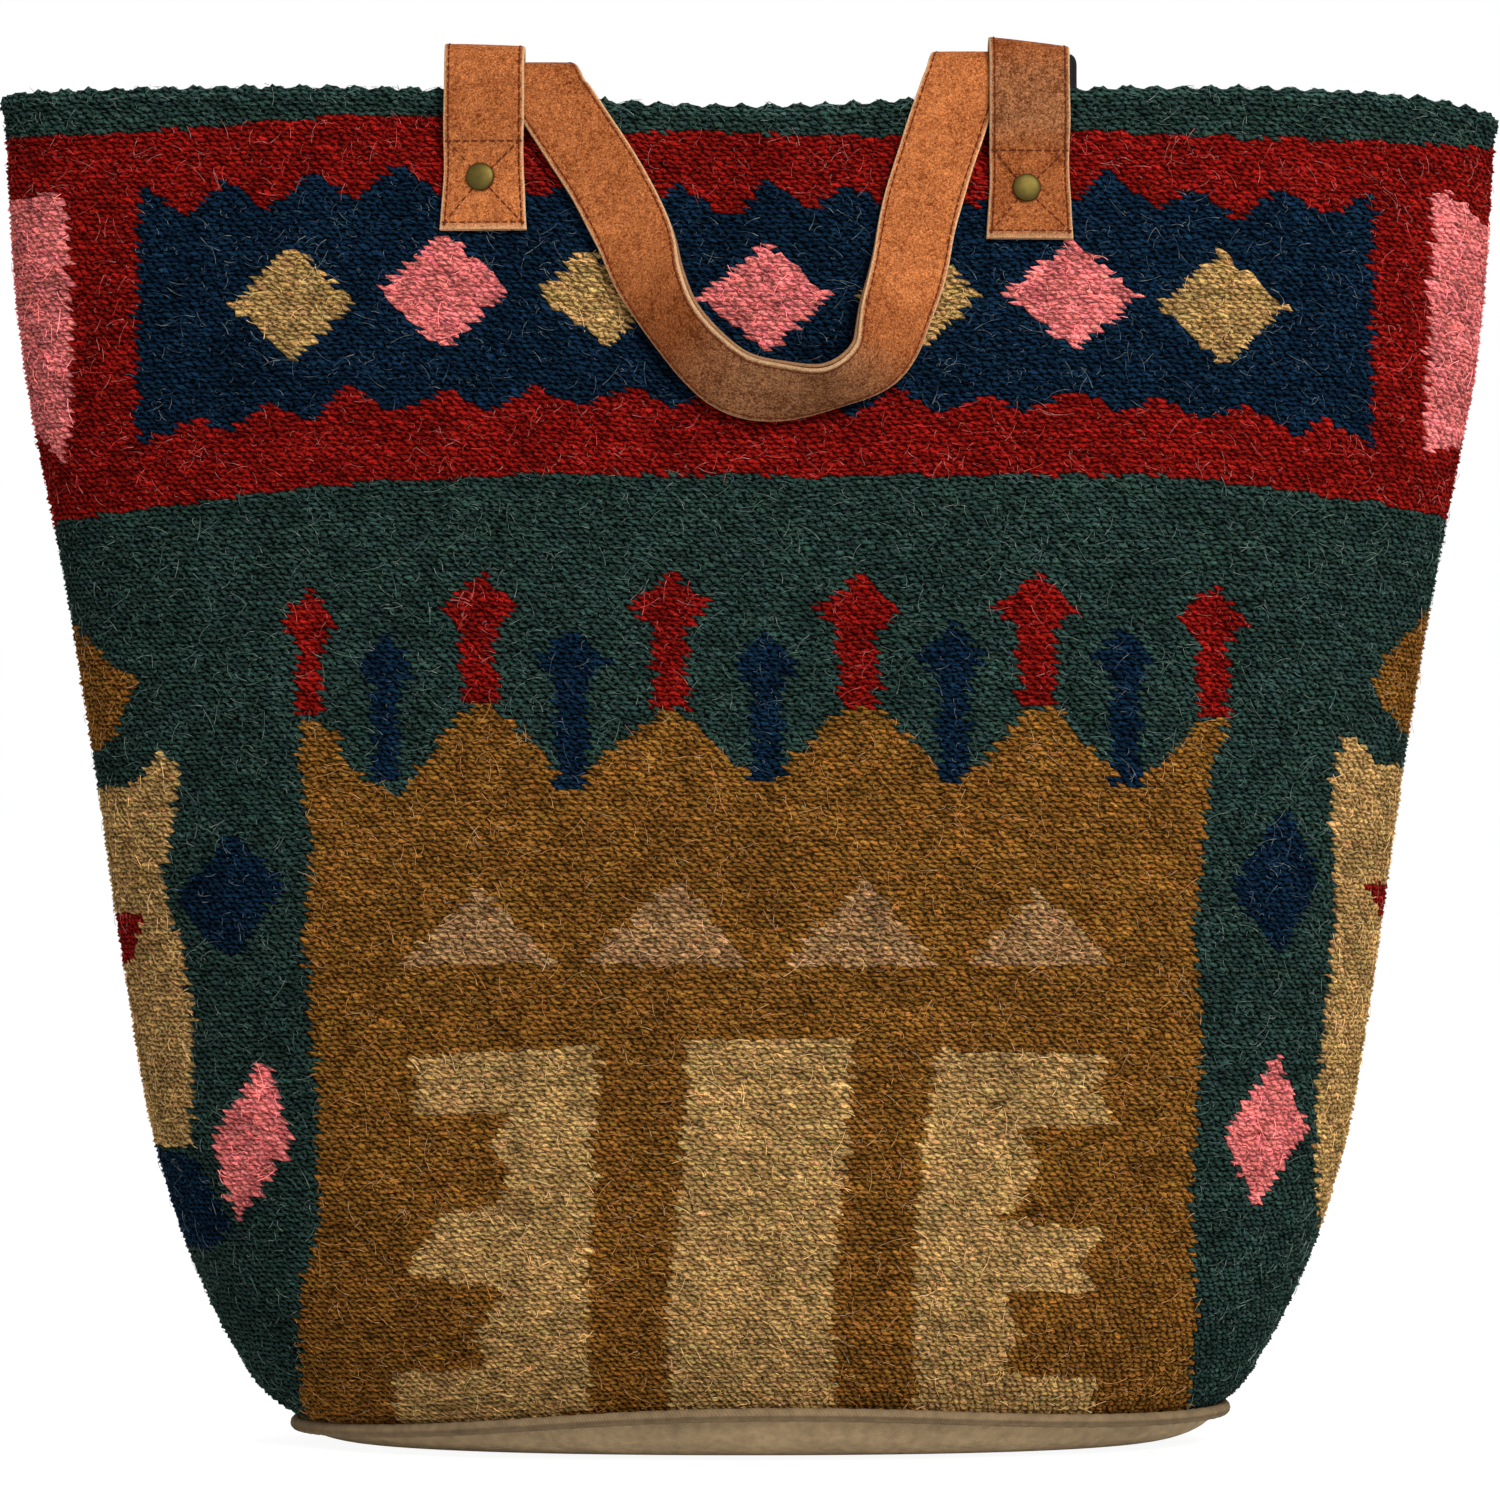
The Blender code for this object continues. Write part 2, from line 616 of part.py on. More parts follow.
def strip(name, rail_a, rail_b, inner, outer, surface):
    """A flat strap between two rails, from inner to outer along its own normal."""
    points, rings = [], []
    count = len(rail_a)
    for place in range(count):
        before, after = max(place - 1, 0), min(place + 1, count - 1)
        ahead = (rail_a[after] + rail_b[after] - rail_a[before] - rail_b[before]).normalized()
        side = (rail_b[place] - rail_a[place]).normalized()
        out = ahead.cross(side).normalized()
        section = (
            (rail_a, 0, inner + CHAMFER), (rail_a, CHAMFER, inner), (rail_b, -CHAMFER, inner),
            (rail_b, 0, inner + CHAMFER), (rail_b, 0, outer - CHAMFER), (rail_b, -CHAMFER, outer),
            (rail_a, CHAMFER, outer), (rail_a, 0, outer - CHAMFER))
        rings.append(list(range(len(points), len(points) + len(section))))
        points += [rail[place] + side * shift + out * level for rail, shift, level in section]
    faces = [tuple(reversed(rings[0])), tuple(rings[-1])]
    for here, there in zip(rings, rings[1:]):
        sides = bridge(here, there)
        faces += [quad for place, quad in enumerate(sides) if place not in (1, 5)]
        faces += [(here[1], here[2], there[2]), (here[1], there[2], there[1])]
        faces += [(here[5], here[6], there[5]), (here[6], there[6], there[5])]
    return add_object(name, points, faces, surface)


def smooth_run(stations):
    """Points on a smooth curve through stations of any length."""
    run = []
    for place in range(1, len(stations) - 2):
        p0, p1, p2, p3 = (Vector(stations[place + shift]) for shift in (-1, 0, 1, 2))
        for step in range(SPLINE_STEPS):
            t = step / SPLINE_STEPS
            bend = 2 * p0 - 5 * p1 + 4 * p2 - p3
            twist = 3 * p1 - p0 - 3 * p2 + p3
            run.append(p1 + 0.5 * t * (p2 - p0) + 0.5 * t * t * bend + 0.5 * t ** 3 * twist)
    run.append(Vector(stations[-2]))
    return run


LIFT_TO = BAG_HEIGHT - LIFT_BELOW
LIFT_FROM = LIFT_TO - LIFT_LENGTH


def rim_room(z):
    """How far up the way from the riveted part to the thick top edge a height is, 0 to 1."""
    share = min(max((z - LIFT_FROM) / LIFT_LENGTH, 0.0), 1.0)
    return share * share * (3 - 2 * share)


def from_rim(place):
    """A place whose height is given from the rim, with its height from the floor."""
    return (place[0], BAG_HEIGHT + place[1], *place[2:])


STRAP = 2 * PLY + TOUCH
ROLL_BULGE = SELVEDGE_HALF - WALL / 2
STRAP_FRONT = ROLL_BULGE + TOUCH + STRAP / 2 + 0.2
STRAP_BACK = WALL + ROLL_BULGE + TOUCH + STRAP / 2
FOLD_RADIUS = (STRAP_FRONT + STRAP_BACK) / 2
FOLD_MIDDLE = (STRAP_FRONT - STRAP_BACK) / 2


def fold_level(crease):
    """Height at which the fold under a crease begins; strap and tab stand straight up from there."""
    return BAG_HEIGHT + crease[1] - FOLD_RADIUS - STRAP / 2


def strap_fold(crease, slope, direction):
    """Stations of the fold over the rim, from the inside to the front: x, off the wall, z, half width."""
    centre_z = fold_level(crease)
    half = STRAP_WIDTH / 2 / math.cos(slope)
    fold = []
    for step in range(FOLD_STEPS + 1):
        turn = math.pi * step / FOLD_STEPS
        along = (turn - math.pi / 2) * FOLD_RADIUS * math.tan(slope)
        x = crease[0] + direction * along
        off = FOLD_MIDDLE - FOLD_RADIUS * math.cos(turn)
        z = centre_z + FOLD_RADIUS * math.sin(turn)
        fold.append((x, off, z, half))
    return fold


def strap_end(crease, rivet, direction):
    """Rails of one strap end: up inside the bag past the rivet, then over the fold."""
    slope = math.atan2(abs(crease[0] - rivet[0]), crease[1] - rivet[1])
    fold = strap_fold(crease, slope, direction)
    root = Vector((fold[0][0], fold[0][2]))
    down = Vector((-direction * math.sin(slope), -math.cos(slope)))
    tail = Vector(from_rim(rivet)) + down * STRAP_TAIL
    rails = []
    centre_z = fold_level(crease)
    low_back = WALL + LAYER_GAP + STRAP / 2
    for share in (0.0, 0.2, 0.4, 0.55, 0.7, 0.85):
        x, z = tail.lerp(root, share)
        turn = slope * (1 - max(0.0, share - 0.4) * 1.6)
        side = Vector((math.cos(turn), -math.sin(turn))) * STRAP_WIDTH / 2
        pair = []
        for sign in (-1, 1):
            edge_x, edge_z = x + direction * sign * side.x, z + sign * side.y
            off = low_back + (STRAP_BACK - low_back) * rim_room(edge_z)
            pair.append(Vector((edge_x, wall_y(edge_x, min(edge_z, centre_z)) + off, edge_z)))
        rails.append(pair)
    for x, off, z, half in fold:
        rails.append([
            Vector((x + direction * sign * half, wall_y(x + direction * sign * half, centre_z) - off, z))
            for sign in (-1, 1)])
    return rails, slope


def hanging_rails(left_slope, right_slope):
    """Rails of the hanging run between the two folds."""
    left_foot = strap_fold(CREASE_LEFT, left_slope, 1)[-1]
    right_foot = strap_fold(CREASE_RIGHT, right_slope, -1)[-1]
    left = Vector((left_foot[0], left_foot[2], 0))
    right = Vector((right_foot[0], right_foot[2], 0))
    ends = [
        left - Vector((math.sin(left_slope), -math.cos(left_slope), 0)) * 12, left,
        *(Vector(from_rim(station)) for station in HANGING_RUN),
        right, right + Vector((math.sin(right_slope), math.cos(right_slope), 0)) * 12]
    run = smooth_run(ends)[1:-1]
    feet = (Vector((left.x, left.y)), Vector((right.x, right.y)))
    rails = []
    for place, station in enumerate(run):
        x, z, lean = station
        before, after = run[max(place - 1, 0)], run[min(place + 1, len(run) - 1)]
        ahead = Vector((after.x - before.x, after.y - before.y)).normalized()
        lean = math.radians(max(lean, 0.0))
        from_fold = min((Vector((x, z)) - foot).length for foot in feet)
        square = min(from_fold / FOLD_REACH, 1.0)
        across = Vector((-ahead.y, ahead.x)).lerp(Vector((math.copysign(1, -ahead.y), 0)), 1 - square)
        across.normalize()
        reach = STRAP_WIDTH / 2 * math.cos(lean) / across.dot(Vector((-ahead.y, ahead.x)))
        pair = []
        for sign in (-1, 1):
            edge_x, edge_z = x + sign * across.x * reach, z + sign * across.y * reach
            out = STRAP_FRONT + max(sign, 0) * STRAP_WIDTH * math.sin(lean)
            pair.append(Vector((edge_x, wall_y(edge_x, edge_z) - out, edge_z)))
        rails.append(pair)
    return rails


def handle_rails():
    """Both rails of a whole strap: one end, the hanging run and the other end."""
    first, left_slope = strap_end(CREASE_LEFT, RIVET_LEFT, 1)
    last, right_slope = strap_end(CREASE_RIGHT, RIVET_RIGHT, -1)
    pairs = first + hanging_rails(left_slope, right_slope) + last[::-1]
    return [pair[0] for pair in pairs], [pair[1] for pair in pairs]


def handle_plies():
    """The suede face and the backing that is sewn to it."""
    rail_a, rail_b = handle_rails()
    half_gap = TOUCH / 2
    face = strip("handle_face", rail_a, rail_b, half_gap, half_gap + PLY, material("suede", SUEDE))
    back = strip("handle_backing", rail_a, rail_b, -half_gap - PLY, -half_gap,
                 material("suede_backing", BACKING))
    return [face, back]


TAB_FRONT = STRAP_FRONT + STRAP / 2 + TOUCH + TAB_THICKNESS / 2
TAB_BACK = STRAP_BACK + STRAP / 2 + TOUCH + TAB_THICKNESS / 2
TAB_LOW_FRONT = LAYER_GAP + TAB_THICKNESS / 2
TAB_LOW_BACK = WALL + LAYER_GAP + STRAP + TOUCH + TAB_THICKNESS / 2


def leg_heights(bottom):
    """Heights up a tab's leg, closer where it leaves the wall."""
    lift = [LIFT_FROM + (LIFT_TO - LIFT_FROM) * share for share in (0.0, 0.25, 0.5, 0.75, 1.0)]
    return [bottom, (bottom + LIFT_FROM) / 2] + lift


def tab(name, middle, drop, rise, slant, crease):
    """A tab folded over the rim and the strap, from its front foot to its inner foot."""
    bottom, top = BAG_HEIGHT - drop, BAG_HEIGHT + rise
    arch_z = fold_level(crease)
    path = []
    for z in leg_heights(bottom):
        path.append((TAB_LOW_FRONT + (TAB_FRONT - TAB_LOW_FRONT) * rim_room(z), z, 0.0))
    arch_middle, arch_half = (TAB_FRONT - TAB_BACK) / 2, (TAB_FRONT + TAB_BACK) / 2
    arch_rise = top - TAB_THICKNESS / 2 - arch_z
    for step in range(FOLD_STEPS + 3):
        turn = math.pi * step / (FOLD_STEPS + 2)
        topness = math.sin(turn)
        path.append((arch_middle + arch_half * math.cos(turn), arch_z + arch_rise * topness, topness))
    for z in reversed(leg_heights(bottom)):
        path.append((-TAB_LOW_BACK - (TAB_BACK - TAB_LOW_BACK) * rim_room(z), z, 0.0))
    rails = []
    for side in (1, -1):
        rail = []
        for off, z, topness in path:
            flare = TAB_FLARE * max(0.0, 1 - (z - bottom) / FLARE_LENGTH)
            x = middle + side * (TAB_WIDTH / 2 + flare)
            rail.append(Vector((x, wall_y(x, min(z, arch_z)) - off, z - side * slant * topness)))
        rails.append(rail)
    half = TAB_THICKNESS / 2
    return strip(name, rails[0], rails[1], -half, half, material("suede", SUEDE))


def patch(name, middle, drop, rise, crease):
    """The black leather patch that the rivet holds against the tab's inner leg."""
    bottom, top = BAG_HEIGHT - drop + PATCH_INSET, BAG_HEIGHT + rise
    arch_z = fold_level(crease)
    step_in = (TAB_THICKNESS + PATCH_THICKNESS) / 2 + TOUCH
    rails = []
    for side in (1, -1):
        rail = []
        for z in leg_heights(bottom) + [arch_z, (arch_z + top) / 2, top]:
            off = TAB_LOW_BACK + (TAB_BACK - TAB_LOW_BACK) * rim_room(z) + step_in
            rounding = PATCH_ROUNDING if z == top else 0.0
            x = middle + side * (TAB_WIDTH / 2 - rounding)
            rail.append(Vector((x, wall_y(x, min(z, arch_z)) + off, z)))
        rails.append(rail)
    half = PATCH_THICKNESS / 2
    return strip(name, rails[0], rails[1], -half, half, material("black_leather", BLACK_LEATHER, 0.6))


def wall_frame(place):
    """A turn and place that put +Z along the wall's outward normal at a rivet."""
    x, z = from_rim(place)
    slope_x = (wall_y(x + 1, z) - wall_y(x - 1, z)) / 2
    slope_z = (wall_y(x, z + 1) - wall_y(x, z - 1)) / 2
    outward = Vector((slope_x, -1, slope_z)).normalized()
    turn = Vector((0, 0, 1)).rotation_difference(outward).to_matrix().to_4x4()
    return Matrix.Translation(Vector((x, wall_y(x, z), z))) @ turn, -outward.y


RIVET_STACK_FRONT = LAYER_GAP + TAB_THICKNESS + TOUCH
RIVET_STACK_BACK = TAB_LOW_BACK + TAB_THICKNESS / 2 + TOUCH + PATCH_THICKNESS + TOUCH


def rivet(name, place):
    """A double-cap rivet whose post passes through every layer."""
    frame, squareness = wall_frame(place)
    front, back = RIVET_STACK_FRONT * squareness, -RIVET_STACK_BACK * squareness - TOUCH
    profile = [
        (0.0, front + CAP_HEIGHT), (CAP_RADIUS * 0.45, front + CAP_HEIGHT * 0.93),
        (CAP_RADIUS * 0.8, front + CAP_HEIGHT * 0.66), (CAP_RADIUS, front + CAP_HEIGHT * 0.2),
        (CAP_RADIUS, front), (POST_RADIUS, front), (POST_RADIUS, back), (CAP_RADIUS, back),
        (CAP_RADIUS, back - CAP_HEIGHT * 0.2), (CAP_RADIUS * 0.8, back - CAP_HEIGHT * 0.66),
        (0.0, back - CAP_HEIGHT)]
    points = [frame @ Vector((0, 0, profile[0][1]))]
    rings = []
    for radius, level in profile[1:-1]:
        rings.append(list(range(len(points), len(points) + CAP_SIDES)))
        for side in range(CAP_SIDES):
            turn = side * 2 * math.pi / CAP_SIDES
            points.append(frame @ Vector((radius * math.cos(turn), radius * math.sin(turn), level)))
    points.append(frame @ Vector((0, 0, profile[-1][1])))
    last = len(points) - 1
    faces = [(0, rings[0][(i + 1) % CAP_SIDES], rings[0][i]) for i in range(CAP_SIDES)]
    faces += [(last, rings[-1][i], rings[-1][(i + 1) % CAP_SIDES]) for i in range(CAP_SIDES)]
    for here, there in zip(rings, rings[1:]):
        faces += bridge(here, there)
    return add_object(name, points, faces, material("brass", BRASS, 0.35, 1.0))


def hole_cutter(name, place):
    """A guide that cuts the rivet's hole through a layer."""
    frame, _ = wall_frame(place)
    mesh = bpy.data.meshes.new(name)
    body = bmesh.new()
    length = (RIVET_STACK_FRONT + RIVET_STACK_BACK) * 3
    bmesh.ops.create_cone(body, cap_ends=True, segments=CAP_SIDES, radius1=POST_RADIUS + TOUCH,
                          radius2=POST_RADIUS + TOUCH, depth=length)
    body.transform(frame)
    bmesh.ops.scale(body, vec=(MM, MM, MM), verts=body.verts)
    body.to_mesh(mesh)
    body.free()
    cutter = bpy.data.objects.new(name, mesh)
    bpy.context.collection.objects.link(cutter)
    cutter.hide_render = True
    cutter.display_type = "WIRE"
    return cutter


def pierce(piece, cutters):
    """Cut the rivet holes through a piece."""
    for cutter in cutters:
        hole = piece.modifiers.new("hole", "BOOLEAN")
        hole.operation = "DIFFERENCE"
        hole.solver = "EXACT"
        hole.object = cutter


def front_hardware():
    """Everything sewn and riveted to the front: strap, tabs, patches and rivets."""
    cutters = [hole_cutter("cutter_left", RIVET_LEFT), hole_cutter("cutter_right", RIVET_RIGHT)]
    plies = handle_plies()
    for ply in plies:
        pierce(ply, cutters)
    tabs = [
        tab("tab_left", TAB_LEFT_X, TAB_DROP_LEFT, TAB_RISE_LEFT, TAB_SLANT_LEFT, CREASE_LEFT),
        tab("tab_right", TAB_RIGHT_X, TAB_DROP_RIGHT, TAB_RISE_RIGHT, TAB_SLANT_RIGHT, CREASE_RIGHT)]
    patches = [
        patch("patch_left", TAB_LEFT_X, TAB_DROP_LEFT, PATCH_RISE_LEFT, CREASE_LEFT),
        patch("patch_right", TAB_RIGHT_X + PATCH_SHIFT, TAB_DROP_RIGHT, PATCH_RISE_RIGHT, CREASE_RIGHT)]
    for pieces in (tabs, patches):
        for piece, cutter in zip(pieces, cutters):
            pierce(piece, [cutter])
    rivets = [rivet("rivet_left", RIVET_LEFT), rivet("rivet_right", RIVET_RIGHT)]
    return plies + tabs + patches + rivets, cutters


def mirrored(piece, swaps):
    """The same piece on the back, mirrored through the bag's middle plane."""
    mesh = piece.data.copy()
    mesh.transform(Matrix.Scale(-1, 4, Vector((0, 1, 0))))
    mesh.flip_normals()
    made = piece.copy()
    made.data = mesh
    made.name = mesh.name = "rear_" + piece.name
    bpy.context.collection.objects.link(made)
    for modifier in made.modifiers:
        modifier.object = swaps[modifier.object.name]
    return made


def build():
    for old in list(bpy.data.objects):
        bpy.data.objects.remove(old, do_unlink=True)
    wall = woven_wall()
    base_panel()
    base_piping()
    pieces, cutters = front_hardware()
    rear_cutters = {cutter.name: mirrored(cutter, {}) for cutter in cutters}
    for piece in pieces:
        mirrored(piece, rear_cutters)
    pierce(wall, cutters + list(rear_cutters.values()))


build()
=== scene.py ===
import math
from collections import namedtuple

import bmesh
import bpy
import numpy as np
from mathutils import Matrix, Vector


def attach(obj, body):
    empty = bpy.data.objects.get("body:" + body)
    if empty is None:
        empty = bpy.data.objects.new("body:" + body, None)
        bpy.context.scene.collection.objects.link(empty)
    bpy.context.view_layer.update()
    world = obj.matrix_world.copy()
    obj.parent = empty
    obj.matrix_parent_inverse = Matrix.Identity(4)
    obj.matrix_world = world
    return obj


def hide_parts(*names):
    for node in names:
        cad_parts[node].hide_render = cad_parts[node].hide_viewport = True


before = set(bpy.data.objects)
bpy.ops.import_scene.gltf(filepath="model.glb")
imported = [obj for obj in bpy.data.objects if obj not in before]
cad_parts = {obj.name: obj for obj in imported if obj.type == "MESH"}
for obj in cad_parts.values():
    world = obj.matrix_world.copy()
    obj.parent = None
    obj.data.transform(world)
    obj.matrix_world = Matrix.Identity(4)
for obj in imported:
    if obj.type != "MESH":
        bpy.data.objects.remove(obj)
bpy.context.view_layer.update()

# Looks of the flat-woven wool tote bag. Lengths are in millimetres until a mesh is made.
MM = 0.001
SEED = 11

# The bag's outer form: height, half width and half depth at each level
LEVELS = (
    (0.0, 146.0, 52.0), (9.0, 158.0, 64.0), (19.0, 171.0, 73.0), (31.0, 179.0, 80.0),
    (64.0, 195.0, 90.0), (104.0, 207.0, 93.0), (155.0, 216.0, 92.0), (224.0, 227.0, 83.0),
    (301.0, 240.0, 70.0), (384.0, 255.0, 56.0), (469.5, 261.3, 42.0),
)
ROUNDNESS = 2.2
POWER = 2 / ROUNDNESS
BAG_HEIGHT = 469.5
BAG_WIDTH = 522.0
RIM_DIP = 7.6
RIM_DIP_WIDTH = 82.0
END_DROOP = 3.5
END_TILT = 3.5
END_SHARPNESS = 8
DENT = 2.2
DENT_LENGTH = 76.0
WALL = 4.5
TOUCH = 0.3
FLOOR_HALF_WIDTH = 134.0
FLOOR_HALF_DEPTH = 46.0
BASE_THICKNESS = 3.0
SEAM_HEIGHT = 9.5
SEAM_RISE = 8.5
SEAM_RISE_WIDTH = 80.0
SEAM_TILT = 0.02
PIPING_RADIUS = 2.3
PIPING_LENGTH = 860
PIPING_PUCKER = 0.12
OUTSIDE = 10.0
PIPING_COLUMNS = 900
PIPING_SIDES = 12
BASE_COLUMNS = 288
BASE_ROWS = 14
BASE_SPREAD = 90.0
BASE_CORNER = 60

# The weave: one bead is one pass of the weft over a warp
COLUMNS = 340
ROWS = 274
CORNERS_PER_BEAD = 12
SHEAR = 0.5
BEAD_RISE = 0.5
GROOVE = 0.35
BEAD_JITTER = 0.3
WAVER = 0.22
WAVER_ALONG = 0.2
NUDGE_ROUND = 0.004
NUDGE_UP = 0.001
WANDER_WAVES = ((97, 0.71, 0), (43, -1.63, 1), (151, 2.3, 2))
EDGE_CALM = 0.3
SAW_PITCH = 4.2
SAW_DEPTH = 1.1
SWAY = 0.9
SWAY_TOP = 395.0
SWAY_TOP_FADE = 60.0
SWAY_FOOT = 14.0
SWAY_FOOT_FADE = 40.0
INNER_COLUMNS = 240
INNER_ROWS = 90
INNER_LOW = 40
INNER_SPAN = 400
INNER_OVERLAP = 3.0
INNER_GAP = 0.2
INNER_TONE = 0.7

# The thick twined top edge
EDGE_HALF = 3.4
EDGE_ROUND = 3.6
EDGE_HEIGHT = 8.0
EDGE_INSIDE = 14.0
TWINE_PITCH = 9.5
TWINE_RISE = 0.9
EDGE_LENGTH = 1080
TWINE_TURNS = round(EDGE_LENGTH / TWINE_PITCH)

# The leather. The hanging run has x, height from the rim and lean in degrees
PLY = 1.5
STRAP_WIDTH = 26.4
TAB_THICKNESS = 2.4
TAB_WIDTH = 27.4
TAB_FLARE = 1.2
FLARE_LENGTH = 20.0
PATCH_THICKNESS = 1.2
PATCH_INSET = 2.0
PATCH_ROUNDING = 2.5
PATCH_CORNER = 1.6
PATCH_STEPS = 5
LAYER_GAP = 0.5
EDGE_CLEARANCE = 0.2
LIFT_LENGTH = 15.5
LIFT_BELOW = 13.0
LIFT_TO = BAG_HEIGHT - LIFT_BELOW
LIFT_FROM = LIFT_TO - LIFT_LENGTH
STRAP_TAIL = 14.0
TAIL_STEPS = 20
TAIL_USED = 18
TAIL_STRAIGHT = 0.4
TAIL_TURN = 1.6
LEAD_IN = 12.0
HANGING_RUN = (
    (-52.0, -29.5, 0.0), (-40.5, -50.7, 4.0), (-33.6, -69.5, 33.0), (-24.0, -86.1, 47.0),
    (-8.1, -102.4, 42.0), (9.1, -107.3, 46.0), (27.8, -105.5, 62.0), (43.0, -96.3, 44.0),
    (49.8, -78.5, 22.0), (54.3, -63.1, 10.0), (59.8, -38.2, 0.0),
)
FOLD_REACH = 24.0
SPLINE_STEPS = 10
FOLD_STEPS = 20
LEG_STEPS = 16
CAP_RADIUS = 4.9
CAP_HEIGHT = 1.9
CAP_LIP = 0.12
CAP_UNDERSIDE = 0.97
CAP_STEPS = 10
POST_RADIUS = 1.5
RIVET_SIDES = 48
BRASS_CORNER = 50

# The two ends of a handle; drops, rises and the second number of a pair are from the rim.
# The strap leans towards the middle of the bag, so facing is 1 at the left end and -1 at the right
End = namedtuple("End", "facing crease rivet middle drop rise slant worn patch_shift patch_rise")
ENDS = {
    "left": End(
        facing=1, crease=(-75.0, 7.5), rivet=(-92.0, -33.2), middle=-91.0, drop=50.9, rise=13.7,
        slant=0.5, worn=0.0, patch_shift=0.0, patch_rise=5.5),
    # The right tab is painted darker as shade, and its near-black patch is shifted and raised so that a
    # sliver shows beside the tab as shade
    "right": End(
        facing=-1, crease=(76.8, 11.3), rivet=(94.3, -36.9), middle=95.6, drop=53.9, rise=14.9,
        slant=1.6, worn=0.55, patch_shift=3.6, patch_rise=12.0),
}

# The levels of the leather off the outer face of the cloth, front and back
STRAP = 2 * PLY + TOUCH
EDGE_BULGE = EDGE_HALF - WALL / 2
STRAP_FRONT = EDGE_BULGE + TOUCH + STRAP / 2 + EDGE_CLEARANCE
STRAP_BACK = WALL + EDGE_BULGE + TOUCH + STRAP / 2
FOLD_RADIUS = (STRAP_FRONT + STRAP_BACK) / 2
FOLD_MIDDLE = (STRAP_FRONT - STRAP_BACK) / 2
TAB_FRONT = STRAP_FRONT + STRAP / 2 + TOUCH + TAB_THICKNESS / 2
TAB_BACK = STRAP_BACK + STRAP / 2 + TOUCH + TAB_THICKNESS / 2
TAB_LOW_FRONT = LAYER_GAP + TAB_THICKNESS / 2
TAB_LOW_BACK = WALL + LAYER_GAP + STRAP + TOUCH + TAB_THICKNESS / 2
RIVET_STACK_FRONT = LAYER_GAP + TAB_THICKNESS + TOUCH
RIVET_STACK_BACK = TAB_LOW_BACK + TAB_THICKNESS / 2 + TOUCH + PATCH_THICKNESS + TOUCH

# The edges of the leather, its stitching and where shade is painted on it
ROUNDING = 0.35
CROWN = 0.12
CUT_BAND = 0.75
END_CUT = 0.6
LEATHER_CORNER = 70
STRAY = 0.25
PATCH_STRAY = 0.1
STITCH_IN = 1.6
STITCH_DIP = 0.12
ROW_ABOVE = 0.45
ROW_BELOW = 0.5
STITCH_PITCH = 2.9
STITCH_LENGTH = 2.5
THREAD_RADIUS = 0.34
BOX_HEIGHT = 31.0
ROW_RAISED = 0.2
CROSS_GAP = 0.6
# Painted shade on the strap: darker where it hangs lowest and faces down, and on its left half, where less
# light falls
SHADE_BELOW = -70.0
SHADE_LENGTH = 35.0
SHADE_LOW = 0.95
SHADE_LEFT = 0.3
# The tabs are painted darker in a band between the box of stitches and the fold
TAB_DARK_BAND = 0.4
TAB_DARK_BAND_AT = 6.0
TAB_DARK_BAND_LENGTH = 13.0

# The loose fibres
FIBRES_PER_SQUARE_METRE = 29500.0
FIBRE_SHORTEST = 1.3
FIBRE_LONGEST = 9.0
FIBRE_LIFT = 1.1
FIBRE_THINNESS = 0.066

# Yarn colours, linear, and how much they vary from bead to bead and from row to row
YARNS = {
    "green": (0.0216, 0.0462, 0.0380),
    "red": (0.215, 0.0068, 0.0048),
    "navy": (0.0046, 0.0172, 0.0372),
    "sand": (0.462, 0.270, 0.093),
    "pink": (0.760, 0.174, 0.165),
    "ochre": (0.228, 0.095, 0.0165),
    "rose": (0.355, 0.190, 0.078),
}
BEAD_SPREAD = 0.17
ROW_SPREAD = 0.05
HUE_SPREAD = 0.04
BRIGHTEST = 0.42
EDGE_PALER = 1.45
# Palette of the suede under deep painted shade
SHADED_SUEDE_DARK = (0.150, 0.062, 0.025)
SHADED_SUEDE_LIGHT = (0.780, 0.385, 0.180)


def form_table(column, heights):
    """One half size of the outer form at many heights, on a smooth curve through the levels."""
    levels = np.array(LEVELS)
    z, size = levels[:, 0], levels[:, column]
    slope = np.gradient(size, z)
    place = np.clip(np.searchsorted(z, heights, side="right") - 1, 0, len(z) - 2)
    gap = z[place + 1] - z[place]
    t = (heights - z[place]) / gap
    smooth = (
        (2 * t ** 3 - 3 * t ** 2 + 1) * size[place] + (t ** 3 - 2 * t ** 2 + t) * gap * slope[place]
        + (3 * t ** 2 - 2 * t ** 3) * size[place + 1] + (t ** 3 - t ** 2) * gap * slope[place + 1])
    return np.where(heights > z[-1], size[-1] + (heights - z[-1]) * slope[-1], smooth)


TABLE_TOP = 510.0
FINE_ANGLES = 1441
HEIGHTS = np.arange(0.0, TABLE_TOP)
HALF_WIDTHS, HALF_DEPTHS = form_table(1, HEIGHTS), form_table(2, HEIGHTS)


def half_sizes(z):
    return np.interp(z, HEIGHTS, HALF_WIDTHS), np.interp(z, HEIGHTS, HALF_DEPTHS)


def signed_power(value, power):
    return np.copysign(np.abs(value) ** power, value)


def dent(x, z):
    """Soft swell of the slack cloth, none at the sides, the rim or the seam."""
    half_width, _ = half_sizes(z)
    fade = np.maximum(0.0, 1 - (x / half_width) ** 2) * np.sin(np.pi * np.clip(z / BAG_HEIGHT, 0, 1)) ** 2
    return DENT * fade * np.sin(x / DENT_LENGTH * np.pi + z / DENT_LENGTH)


def wall_y(x, z):
    """Y of the front face at a place seen from the front."""
    half_width, half_depth = half_sizes(z)
    reach = min(abs(x) / half_width, 1.0)
    return float(-half_depth * (1 - reach ** ROUNDNESS) ** (1 / ROUNDNESS) - dent(x, z))


def rim_z(angle):
    """Height of the cloth's top edge round the bag."""
    across = np.cos(angle)
    middle = RIM_DIP * np.exp(-(across * BAG_WIDTH / 2 / RIM_DIP_WIDTH) ** 2)
    return BAG_HEIGHT - middle - (END_DROOP + END_TILT * np.sign(across)) * np.abs(across) ** END_SHARPNESS


